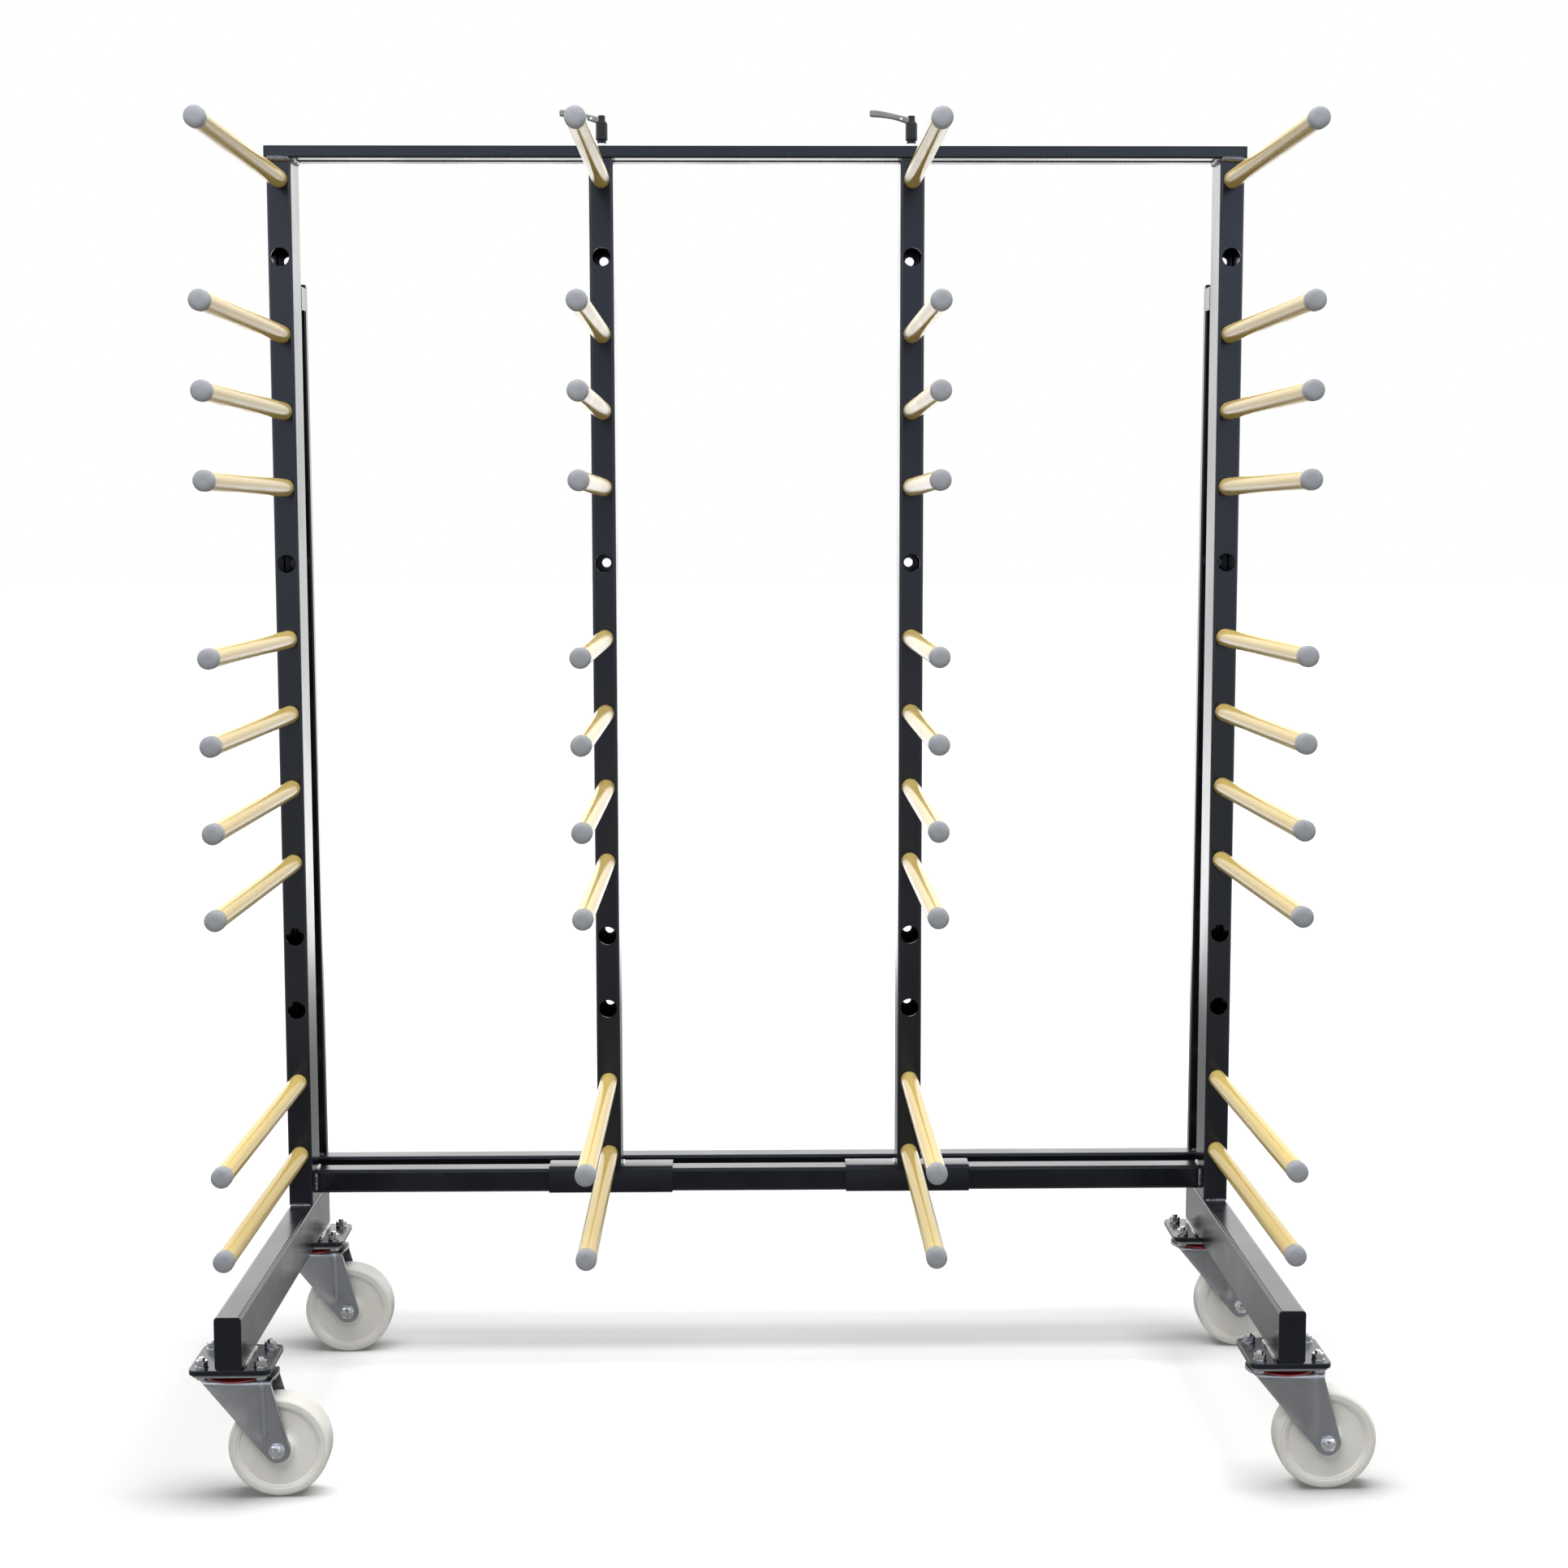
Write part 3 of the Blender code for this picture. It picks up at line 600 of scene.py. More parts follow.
LEVER_CASTING = Finish(
    "black_die_casting", Slot.LEVER, (0.012, 0.012, 0.014), (0.017, 0.017, 0.019), 45.0, (0.36, 0.46),
    grain_scale=700.0, specular_tint=(0.25, 0.25, 0.26), scuffs=0.2, scuff_colour=(0.07, 0.07, 0.07),
    dust=0.08)
# The handle's casting: a lighter grey than the hub's.
LIGHT_GREY_LEVER = Finish(
    "worn_die_casting", Slot.LEVER, (0.150, 0.150, 0.152), (0.190, 0.189, 0.186), 45.0, (0.26, 0.36),
    grain_scale=700.0)
SLEEVE = Finish(
    "golden_sleeve", Slot.ARM, (0.570, 0.426, 0.132), (0.592, 0.446, 0.146), 7.0, (0.15, 0.20),
    grain_scale=20.0, grain_depth=0.000015, specular=0.06, specular_tint=(1.0, 0.90, 0.70))
CAP_PLASTIC = Finish(
    "grey_cap_plastic", Slot.ARM, (0.242, 0.252, 0.265), (0.222, 0.231, 0.243), 60.0, (0.50, 0.60),
    grain_scale=60.0, specular=1.0)
ZINC_SHEET = Finish(
    "zinc_plated_sheet", Slot.ZINC, (0.262, 0.268, 0.276), (0.215, 0.221, 0.228), 26.0, (0.24, 0.34),
    grain_scale=240.0, grain_depth=0.000012, metallic=1.0)
BRIGHT_ZINC = Finish(
    "bright_zinc", Slot.ZINC, (0.52, 0.525, 0.525), (0.42, 0.425, 0.425), 120.0, (0.15, 0.26),
    grain_scale=500.0, metallic=1.0)
NYLON = Finish(
    "white_nylon", Slot.NYLON, (0.735, 0.727, 0.693), (0.698, 0.683, 0.635), 18.0, (0.34, 0.46),
    grain_scale=300.0, subsurface=0.10, scuffs=0.35, scuff_colour=(0.40, 0.37, 0.32))
# The sunk webs are painted a little darker and warmer than the tread: painted shade in the recess.
SHADED_NYLON_WEB = Finish(
    "warm_nylon_web", Slot.NYLON, (0.665, 0.645, 0.585), (0.630, 0.605, 0.540), 22.0, (0.40, 0.52),
    grain_scale=300.0, subsurface=0.10, dust=0.05)
SEAL_PLASTIC = Finish(
    "red_seal_plastic", Slot.ZINC, (0.28, 0.008, 0.012), (0.20, 0.007, 0.009), 60.0, (0.32, 0.44),
    grain_scale=600.0)
# Near-black disc between the seal and the caster plate: painted shade for the gap between them.
PAINTED_GAP_SHADE = Finish(
    "greased_race", Slot.ZINC, (0.05, 0.048, 0.045), (0.03, 0.029, 0.027), 80.0, (0.35, 0.5),
    grain_scale=600.0)
FINISHES = (
    POWDER_COAT, WELD_COAT, PLUG_PLASTIC, LEVER_CASTING, LIGHT_GREY_LEVER, SLEEVE, CAP_PLASTIC, ZINC_SHEET,
    BRIGHT_ZINC, NYLON, SHADED_NYLON_WEB, SEAL_PLASTIC, PAINTED_GAP_SHADE)


class Bench:
    """Makes finished pieces from shapes and hangs them on the frame's bodies."""

    def __init__(self, frame: dict) -> None:
        """Keep the frame's bodies and joints and build every material once."""
        effects = Effects()
        self.materials = {finish.name: finish.material(effects) for finish in FINISHES}
        bodies = frame["record"]["behaviour"]["bodies"]
        self.body_of = {node: body for body, nodes in bodies.items() for node in nodes}
        self.pivot = {joint["name"]: joint.get("pos_m") for joint in frame["joints"]}

    def mesh(self, name: str, shapes: list[Shape]) -> bpy.types.Mesh:
        """Join shapes into one mesh with closed seams, outward faces and smooth round stretches.

        Args:
            name: The mesh's name.
            shapes: What is joined; each keeps its finish number.

        Returns:
            The mesh.
        """
        offsets = np.cumsum([0] + [len(shape.points) for shape in shapes[:-1]])
        faces = [(np.array(f) + o).tolist() for shape, o in zip(shapes, offsets) for f in shape.faces]
        mesh = bpy.data.meshes.new(name)
        mesh.from_pydata(np.concatenate([shape.points for shape in shapes]), [], faces)
        finishes = np.repeat([shape.finish for shape in shapes], [len(shape.faces) for shape in shapes])
        mesh.polygons.foreach_set("material_index", finishes.astype(np.int32))
        work = bmesh.new()
        work.from_mesh(mesh)
        bmesh.ops.remove_doubles(work, verts=work.verts, dist=MERGE)
        bmesh.ops.dissolve_degenerate(work, edges=work.edges, dist=MERGE)
        bmesh.ops.recalc_face_normals(work, faces=work.faces)
        work.to_mesh(mesh)
        work.free()
        self.smooth(mesh)
        return mesh

    @staticmethod
    def smooth(mesh: bpy.types.Mesh) -> None:
        """Shade a mesh smooth except along its sharp edges."""
        mesh.shade_smooth()
        mesh.set_sharp_from_angle(angle=SHARP)

    def drilled(self, mesh: bpy.types.Mesh, cutter: bpy.types.Mesh) -> bpy.types.Mesh:
        """Cut one mesh out of another and return what is left."""
        part, tool = (show(bpy.data.objects.new(m.name, m)) for m in (mesh, cutter))
        cut = part.modifiers.new("drill", "BOOLEAN")
        cut.operation = "DIFFERENCE"
        cut.solver = "EXACT"
        cut.object = tool
        graph = bpy.context.evaluated_depsgraph_get()
        result = bpy.data.meshes.new_from_object(part.evaluated_get(graph), depsgraph=graph)
        for item in (part, tool):
            bpy.data.objects.remove(item, do_unlink=True)
        self.smooth(result)
        return result

    def piece(
            self, name: str, shapes: list[Shape] | bpy.types.Mesh, finishes: list[Finish], body: str,
            stands_for: str | None = None) -> None:
        """Make a finished piece that rides on a body, with its place in its mesh.

        Args:
            name: The piece's name.
            shapes: Its shapes, or its mesh where that is already made.
            finishes: Finishes by the shapes' finish numbers.
            body: The body that it moves with.
            stands_for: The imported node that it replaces, if any.
        """
        mesh = self.mesh(name, shapes) if isinstance(shapes, list) else shapes
        mesh.materials.clear()
        for finish in finishes:
            mesh.materials.append(self.materials[finish.name])
        made = show(bpy.data.objects.new(name, mesh))
        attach(made, body)
        if stands_for:
            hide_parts(stands_for)
        LOG.info("%s: %d faces on %s", name, len(mesh.polygons), body)

    def skin(
            self, node: str, word: str, shapes: list[Shape] | bpy.types.Mesh, finishes: list[Finish]) -> None:
        """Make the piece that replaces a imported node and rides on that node's body."""
        self.piece(f"{node}_{word}", shapes, finishes, self.body_of[node], node)


@dataclass
class Posts:
    """The four posts: drilled tubes, and on the middle ones a saddle and a cap plate."""

    wall: float = 0.003
    corner: float = 0.005
    socket_radius: float = 0.015
    hole_radius: float = 0.0075
    socket_count: int = 14
    gap: float = 0.0003
    saddle_sheet: float = 0.005
    saddle_bend: float = 0.006
    cap_plate: float = 0.005
    cap_plate_inset: float = 0.0015
    bead_radius: float = 0.0036
    bead_start: float = 0.006
    bead_end: float = 0.004
    bead_seed: int = 40
    post: Box = field(init=False)
    heights: Array = field(init=False)

    def build(self, bench: Bench) -> None:
        """Make all four posts and their weld beads."""
        self.post = Box.of("left_end_post")
        top, bottom = (Box.of(f"left_end_arm_{number:02d}").middle[2] for number in (1, self.socket_count))
        self.heights = np.linspace(top, bottom, self.socket_count)
        for side in SIDES:
            node = f"{side}_end_post"
            box = Box.of(node)
            bench.skin(node, "tube", self.tube(bench, node, box.low[2], box.high[2]), [POWDER_COAT])
            self.build_middle(bench, side)

    def tube(self, bench: Bench, node: str, low: float, high: float) -> bpy.types.Mesh:
        """A post's tube with wide sockets through its front wall and screw holes through its rear wall.

        Args:
            bench: Where meshes are made.
            node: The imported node's name.
            low: The tube's lower end.
            high: Its upper end.

        Returns:
            The drilled mesh.
        """
        x = Box.of(node).middle[0]
        outline = rounded_rectangle(*self.post.size[:2], self.corner)
        body = hollow(outline, self.wall, low, high).moved(x, self.post.middle[1], 0)
        reach = 3 * self.wall
        walls = ((self.socket_radius, self.post.low[1]), (self.hole_radius, self.post.high[1]))
        drills = [
            rod(radius, -reach, reach).placed(Axis.BACK.at(x, y, z))
            for z in self.heights for radius, y in walls]
        return bench.drilled(bench.mesh(node, [body]), bench.mesh("drills", drills))

    def saddle_outline(self, width: float, height: float) -> Array:
        """A bent sheet seen along X: up one leg, round two bends, down the other leg and back inside.

        Args:
            width: Clear width between the legs.
            height: Clear height under the roof.

        Returns:
            A closed outline, (point, 2), with its legs' feet at y = 0.
        """
        half, out = width / 2, width / 2 + self.saddle_sheet
        roof, bend = height + self.saddle_sheet, self.saddle_bend
        small = bend - self.saddle_sheet
        return np.concatenate([
            [(out, 0)], arc((out - bend, roof - bend), bend, 0, 90),
            arc((bend - out, roof - bend), bend, 90, 180), [(-out, 0), (-half, 0)],
            arc((small - half, height - small), small, 180, 90, 3),
            arc((half - small, height - small), small, 90, 0, 3), [(half, 0)]])

    def build_middle(self, bench: Bench, side: str) -> None:
        """A middle post: tube, saddle over the front rail, cap plate and the weld round its foot."""
        node = f"{side}_mid_post"
        body = bench.body_of[node]
        box, rail = Box.of(node), Box.of("front_rail")
        x, low, high = box.middle[0], box.low[2], box.high[2]
        roof = rail.high[2] + self.gap
        saddle_top = roof + self.saddle_sheet
        plate_bottom = high - self.cap_plate
        bench.skin(node, "tube", self.tube(bench, node, saddle_top, plate_bottom), [POWDER_COAT])
        outline = self.saddle_outline(rail.size[1] + 2 * self.gap, roof - low)
        half = box.size[0] / 2
        saddle = prism(outline, -half, half).placed(Axis.RIGHT.at(x, rail.middle[1], low))
        bench.piece(f"{side}_saddle", [saddle], [POWDER_COAT], body)
        outline = rounded_rectangle(*(self.post.size[:2] - 2 * self.cap_plate_inset), self.corner)
        plate = prism(outline, plate_bottom, high).moved(x, self.post.middle[1], 0)
        bench.piece(f"{side}_cap_plate", [plate], [POWDER_COAT], body)
        ends = (rail.low[1] - self.saddle_sheet + self.bead_start, self.post.high[1] - self.bead_end)
        out = self.post.size[0] / 2 + self.bead_radius / 4
        beads = []
        for number, edge in enumerate((x - out, x + out)):
            front, back = (np.array((edge, y, saddle_top)) for y in ends)
            beads.append(bead(front, back, self.bead_radius, self.bead_seed + number))
        bench.piece(f"{side}_saddle_welds", beads, [WELD_COAT], body)


@dataclass
class Frame:
    """The fixed frame: feet with their plates, top bars, rails, braces, plugs and welds."""

    corner: float = 0.005
    foot_plate: float = 0.008
    plate_corner: float = 0.012
    plate_edge: float = 0.0010
    foot_edge: float = 0.0008
    zinc_plate: float = 0.005
    zinc_size: Pair = (0.114, 0.108)
    bar_corner: float = 0.003
    plug: float = 0.004
    plug_edge: float = 0.0012
    tube_edge: float = 0.0004
    rail_edge: float = 0.0002
    rail_height: float = 0.050
    brace_thickness: float = 0.020
    brace_drop: float = 0.0005
    spacer_depth: float = 0.036
    spacer_sink: float = 0.002
    spacer_height: float = 0.040
    spacer_drop: float = 0.006
    bead_radius: float = 0.0042
    bead_reach: float = 0.017
    bead_margin: float = 0.004
    bead_sink: float = 0.001
    plate_bead: float = 0.047
    bar_bead: float = 0.0195
    bar_bead_end: float = 0.006
    brace_bead: float = 0.016
    post: Box = field(init=False)

    def build(self, bench: Bench) -> None:
        """Make the frame's pieces from the feet up."""
        self.post = Box.of("left_end_post")
        for side in SIDES:
            self.build_foot(bench, side)
        self.build_bars(bench)
        self.build_rail(bench)
        self.build_rear(bench)
        self.build_welds(bench)

    def plugged(self, outline: Array, low: float, high: float, lay: Array, lower: bool = True) -> list[Shape]:
        """A tube with plastic plugs, which are dressed with finish 1.

        Args:
            outline: The section.
            low: The lower end.
            high: The upper end, which always has a plug.
            lay: The matrix that lays it in the rack.
            lower: Whether the lower end has a plug too.

        Returns:
            The tube and its plugs.
        """
        start = low + self.plug if lower else low
        end = high - self.plug
        plugs = [(low, start), (end, high)] if lower else [(end, high)]
        shapes = [prism(outline, start, end, self.tube_edge)]
        shapes += [prism(outline, *ends, self.plug_edge).dressed(1) for ends in plugs]
        return [shape.placed(lay) for shape in shapes]

    def build_foot(self, bench: Bench, side: str) -> None:
        """A foot tube with closed ends, its two welded plates and the zinc plates below them."""
        node = f"{side}_foot"
        box = Box.of(node)
        width, depth = self.post.size[:2]
        half, top = box.size[1] / 2, box.high[2] - depth
        bottom = top - self.foot_plate
        lay = Axis.BACK.at(box.middle[0], box.middle[1], box.high[2] - depth / 2)
        outline = rounded_rectangle(width, depth, self.corner)
        shapes = [prism(outline, -half, half, self.foot_edge).placed(lay)]
        steel = rounded_rectangle(box.size[0], box.size[0], self.plate_corner)
        zinc = rounded_rectangle(*self.zinc_size, self.plate_corner)
        for end in ENDS:
            x, y, _ = bench.pivot[f"{end}_{side}_swivel"]
            shapes.append(prism(steel, bottom, top, self.plate_edge).moved(x, y, 0))
            plate = prism(zinc, bottom - self.zinc_plate, bottom, self.foot_edge).moved(x, y, 0)
            bench.piece(f"{end}_{side}_caster_plate", [plate], [ZINC_SHEET], "frame")
        bench.skin(node, "tube", shapes, [POWDER_COAT])

    def build_bars(self, bench: Bench) -> None:
        """The two flat tubes along the top with a plug in each end."""
        for row in ENDS:
            node = f"top_{row}_bar"
            box = Box.of(node)
            half = box.size[0] / 2
            outline = rounded_rectangle(*box.size[1:], self.bar_corner)
            shapes = self.plugged(outline, -half, half, Axis.RIGHT.at(*box.middle))
            bench.skin(node, "tube", shapes, [POWDER_COAT, PLUG_PLASTIC])

    def build_rail(self, bench: Bench) -> None:
        """The front rail between the end posts."""
        box = Box.of("front_rail")
        half = box.size[0] / 2
        outline = rounded_rectangle(*box.size[1:], self.corner)
        rail = prism(outline, -half, half, self.rail_edge).placed(Axis.RIGHT.at(*box.middle))
        bench.skin("front_rail", "tube", [rail], [POWDER_COAT])

    def build_rear(self, bench: Bench) -> None:
        """The rear rail with its plugs, the leaning braces, their top plugs and the spacers to the posts."""
        box, depth = Box.of("rear_frame"), Box.of("front_rail").size[1]
        half, back = box.size[0] / 2, box.high[1]
        lay = Axis.RIGHT.at(box.middle[0], back - depth / 2, box.low[2] + self.rail_height / 2)
        shapes = self.plugged(rounded_rectangle(depth, self.rail_height, self.corner), -half, half, lay)
        width, start, middle = self.post.size[0], self.post.high[1], self.brace_thickness / 2
        foot = np.array((back - middle, box.low[2] + self.rail_height - self.corner))
        head = np.array((start + self.spacer_depth + middle, box.high[2] - self.brace_drop))
        rise = head - foot
        length = float(np.linalg.norm(rise))
        lean = np.array(Matrix.Rotation(math.atan2(-rise[0], rise[1]), 4, "X"))
        section = rounded_rectangle(width, self.brace_thickness, self.bar_corner)
        outline = rounded_rectangle(width, self.spacer_height, self.bar_corner)
        spacer = prism(outline, 0, self.spacer_depth + self.spacer_sink, self.tube_edge)
        spacer_z = box.high[2] - self.spacer_drop - self.spacer_height / 2
        for side in SIDES:
            x = Box.of(f"{side}_end_post").middle[0]
            lean[:3, 3] = (x, *foot)
            shapes += self.plugged(section, 0, length, lean, lower=False)
            shapes.append(spacer.placed(Axis.BACK.at(x, start + HOLD, spacer_z)))
        bench.skin("rear_frame", "tubes", shapes, [POWDER_COAT, PLUG_PLASTIC])

    def build_welds(self, bench: Bench) -> None:
        """Beads where the feet, plates, posts, rails and bars are welded together."""
        rail, rear, bar = (Box.of(node) for node in ("front_rail", "rear_frame", "top_front_bar"))
        width, depth = self.post.size[:2]
        reach, margin = self.bead_reach, self.bead_margin
        brace = (rear.high[1] - self.brace_thickness, rear.low[2] + self.rail_height)
        rear_face = rear.high[1] - rail.size[1]
        seams: list[tuple[Point, Point, float]] = []  # both ends and the girth's share
        for side, sign in zip(SIDES, (-1, 1)):
            foot, post = Box.of(f"{side}_foot"), Box.of(f"{side}_end_post")
            x, top, post_top = post.middle[0], foot.high[2], post.high[2]
            inner, plate = x - sign * width / 2, top - depth + self.bead_sink
            for end in ENDS:
                y = bench.pivot[f"{end}_{side}_swivel"][1]
                front, back = y - self.plate_bead, y + self.plate_bead
                for edge in (x - width / 2, x + width / 2):
                    seams.append(((edge, front, plate), (edge, back, plate), 1.1))
            low, high, face, bar_top = x - reach, x + reach, rail.low[1], post_top - self.bead_sink
            seams += [((low, y, top), (high, y, top), 1.0) for y in (post.low[1], post.high[1])]
            seams += [
                ((inner, face, rail.low[2] + margin), (inner, face, rail.high[2] - margin), 0.8),
                ((inner, face + margin, rail.high[2]), (inner, rail.high[1] - margin, rail.high[2]), 0.8),
                ((x - self.bar_bead, post.low[1], bar_top),
                 (x + self.bar_bead, post.low[1], bar_top - self.bead_sink), 1.25),
                ((inner, bar.low[1] + margin, post_top),
                 (inner, post.high[1] - self.bar_bead_end, post_top), 1.35),
                ((x - self.brace_bead, *brace), (x + self.brace_bead, *brace), 0.8),
                ((low, rear_face, top), (high, rear_face, top), 0.9)]
        beads = [
            bead(np.array(start), np.array(end), self.bead_radius * girth, number)
            for number, (start, end, girth) in enumerate(seams)]
        bench.piece("frame_welds", beads, [WELD_COAT], "frame")


@dataclass
class Arms:
    """The arms: glossy sleeves, moulded end caps and the screws that hold them from behind."""

    sleeve_radius: float = 0.0145
    sleeve_rim: float = 0.001
    sleeve_chamfer: float = 0.0005
    cap_radius: float = 0.0153
    cap_length: float = 0.018
    cap_wall: float = 0.0016
    dome_rise: float = 0.0052
    screw_flats: float = 0.018
    screw_head: float = 0.0075
    washer_radius: float = 0.012
    washer: float = 0.002
    edge: float = 0.0003
    gap: float = 0.0001
    steps: int = 64

    def build(self, bench: Bench) -> None:
        """Dress every packed arm, then cap and screw each post's row."""
        rows: dict[str, list[str]] = {}
        for node in sorted(bench.body_of):
            if "_arm_" in node:
                self.build_sleeve(bench, node)
                rows.setdefault(node.rsplit("_arm_", 1)[0], []).append(node)
        for row, nodes in rows.items():
            body = bench.body_of[nodes[0]]
            bench.piece(f"{row}_arm_caps", [self.cap(node) for node in nodes], [CAP_PLASTIC], body)
            screws = [shape for node in nodes for shape in self.screw(node)]
            bench.piece(f"{row}_arm_screws", screws, [BRIGHT_ZINC], body)

    def build_sleeve(self, bench: Bench, node: str) -> None:
        """One sleeve, from the rear wall of its post to inside its cap, with a round rim at its free end."""
        box = Box.of(node)
        length = box.size[1] - self.cap_wall - self.dome_rise
        radius, rim, chamfer = self.sleeve_radius, self.sleeve_rim, self.sleeve_chamfer
        profile = [
            (0, 0), (radius - chamfer, 0), (radius, chamfer), (radius, length - 2 * rim),
            *arc((radius - rim, length - rim), rim, 0, 90, 4), (0, length)]
        lay = Axis.FRONT.at(box.middle[0], box.high[1], box.middle[2])
        bench.skin(node, "sleeve", [turned(profile, self.steps).placed(lay)], [SLEEVE])

    def cap(self, node: str) -> Shape:
        """A cap: straight skirt and a full dome, open towards the sleeve.

        At share q of the radius the dome has fallen from its top by rise (1 - (1 - q^3)^(1/2)).
        """
        box = Box.of(node)
        radius, length, inner = self.cap_radius, self.cap_length, self.sleeve_radius + self.gap
        share = np.sin(np.linspace(math.pi / 2, 0, 17))
        dome = np.column_stack([radius * share, length - self.dome_rise * (1 - np.sqrt(1 - share ** 3))])
        roof = length - self.dome_rise - self.cap_wall
        rows = [(0, roof), (inner, roof), (inner, 0), (radius - self.edge, 0), (radius, self.edge), *dome]
        lay = Axis.FRONT.at(box.middle[0], box.low[1] + length, box.middle[2])
        return turned(rows, self.steps).placed(lay)

    def screw(self, node: str) -> list[Shape]:
        """A washer and a hexagon head behind the post, on the arm's axis."""
        box = Box.of(node)
        lay = Axis.BACK.at(box.middle[0], Box.of("left_end_post").high[1], box.middle[2])
        low, top, rim, edge = self.gap, self.washer, self.washer_radius, self.edge
        washer = turned(
            [(0, low), (rim - edge, low), (rim, low + edge), (rim, top - edge), (rim - edge, top), (0, top)],
            steps=40)
        head = hexagon(self.screw_flats, top + self.gap, top + self.screw_head)
        return [washer.placed(lay), head.placed(lay)]


@dataclass
class Levers:
    """The clamping levers: hub with a threaded stud, washer and a handle that climbs in an S."""

    stud_radius: float = 0.005
    stud_pitch: float = 0.0015
    washer_radius: float = 0.012
    washer: float = 0.003
    washer_edge: float = 0.0004
    neck_radius: float = 0.0068
    neck: float = 0.008
    hub_radius: float = 0.0098
    hub_head: float = 0.0060
    hub_foot: float = 0.0075
    hub_edge: float = 0.0010
    hub: float = 0.042
    well_radius: float = 0.0046
    well_depth: float = 0.0018
    screw_radius: float = 0.0042
    screw_face: float = 0.0036
    handle_reach: float = 0.069
    handle_drop: float = 0.0100
    handle_rise: float = 0.0138
    handle_tall: float = 0.0112
    handle_wide: float = 0.0085
    handle_corner: float = 0.0028
    handle_waist: float = 0.16
    waist_end: float = 0.9
    handle_blunt: float = 0.45
    blunt_start: float = 0.94
    handle_hole: float = 0.0022
    hole_place: float = 0.0170
    gap: float = 0.0003

    def build(self, bench: Bench) -> None:
        """Make both levers."""
        base = Box.of("top_front_bar").high[2] + self.gap
        hole_z = self.handle_height(self.hole_place / self.handle_reach)
        for side in SIDES:
            node = f"{side}_clamp_lever"
            body = bench.body_of[node]
            x, y, _ = bench.pivot[f"{side}_lever_turn"]
            bench.skin(node, "hub", [self.hub_shape().moved(x, y, base)], [LEVER_CASTING])
            handle = bench.mesh(f"{side}_handle", [self.handle_shape().moved(x, y, base)])
            hole = rod(self.handle_hole, -self.handle_wide, self.handle_wide, steps=24).placed(
                Axis.BACK.at(x - self.hole_place, y, base + hole_z))
            drilled = bench.drilled(handle, bench.mesh("hole", [hole]))
            bench.piece(f"{side}_lever_handle", drilled, [LIGHT_GREY_LEVER], body)
            stud = threaded(self.stud_radius, Box.of(node).low[2] - base, 0.0, self.stud_pitch)
            metal = [shape.moved(x, y, base) for shape in (stud, *self.metal())]
            bench.piece(f"{side}_lever_stud", metal, [BRIGHT_ZINC], body)

    @property
    def top(self) -> float:
        """Height of the hub's head above the bar."""
        return self.washer + self.neck + self.hub

    def metal(self) -> list[Shape]:
        """The washer, the insert's neck and the screw on top of the hub, about the stud."""
        washer = prism(arc((0, 0), self.washer_radius, 0, 350, 35), 0, self.washer, self.washer_edge)
        neck = rod(self.neck_radius, self.washer, self.washer + self.neck)
        top, wide, slim = self.top, self.screw_radius, self.screw_face
        screw = turned(
            [(0, top - 0.002), (wide, top - 0.002), (wide, top - 0.0006), (slim, top - 0.0001), (0, top)])
        return [washer, neck, screw]

    def hub_shape(self) -> Shape:
        """The hub: a slim foot, a round body and a shoulder up to the narrow head, sunk round its screw."""
        low, top, radius = self.washer + self.neck * 0.6, self.top, self.hub_radius
        head, foot, edge, well = self.hub_head, self.hub_foot, self.hub_edge, self.well_radius
        return turned([
            (0, low), (foot - 0.0004, low), (foot, low + 0.0004), (foot, low + 0.0050),
            (radius - 0.0008, low + 0.0054), (radius, low + 0.0064), (radius, top - 0.0136),
            (radius - 0.0006, top - 0.0124), (head + 0.0006, top - 0.0090), (head, top - 0.0078),
            *arc((head - edge, top - edge), edge, 0, 90), (well, top), (well, top - self.well_depth),
            (0, top - self.well_depth)])

    def handle_height(self, share: float | Array) -> float | Array:
        """Height of the handle's middle line: it climbs by rise (1 - (1 - s)^1.8) at share s of its reach."""
        return self.top - self.handle_drop + self.handle_rise * (1 - (1 - share) ** 1.8)

    def handle_shape(self) -> Shape:
        """The handle: a round-cornered bar along its climbing line, slim half-way and blunt at its end."""
        share = np.concatenate([np.linspace(0, self.blunt_start, 24), np.linspace(0.95, 1, 8)])
        waist = 1 - self.handle_waist * np.sin(math.pi * np.clip(share / self.waist_end, 0, 1)) ** 2
        blunt = np.clip((share - self.blunt_start) / (1 - self.blunt_start), 0, 1)
        size = waist * (1 - self.handle_blunt * (1 - np.sqrt(1 - blunt ** 2)))
        outline = rounded_rectangle(self.handle_wide, self.handle_tall, self.handle_corner)
        ring = outline[None] * size[:, None, None]
        along = np.broadcast_to((-self.handle_reach * share)[:, None], ring.shape[:2])
        lifted = ring[..., 1] + self.handle_height(share)[:, None]
        return loft(np.stack([along, ring[..., 0], lifted], axis=-1))


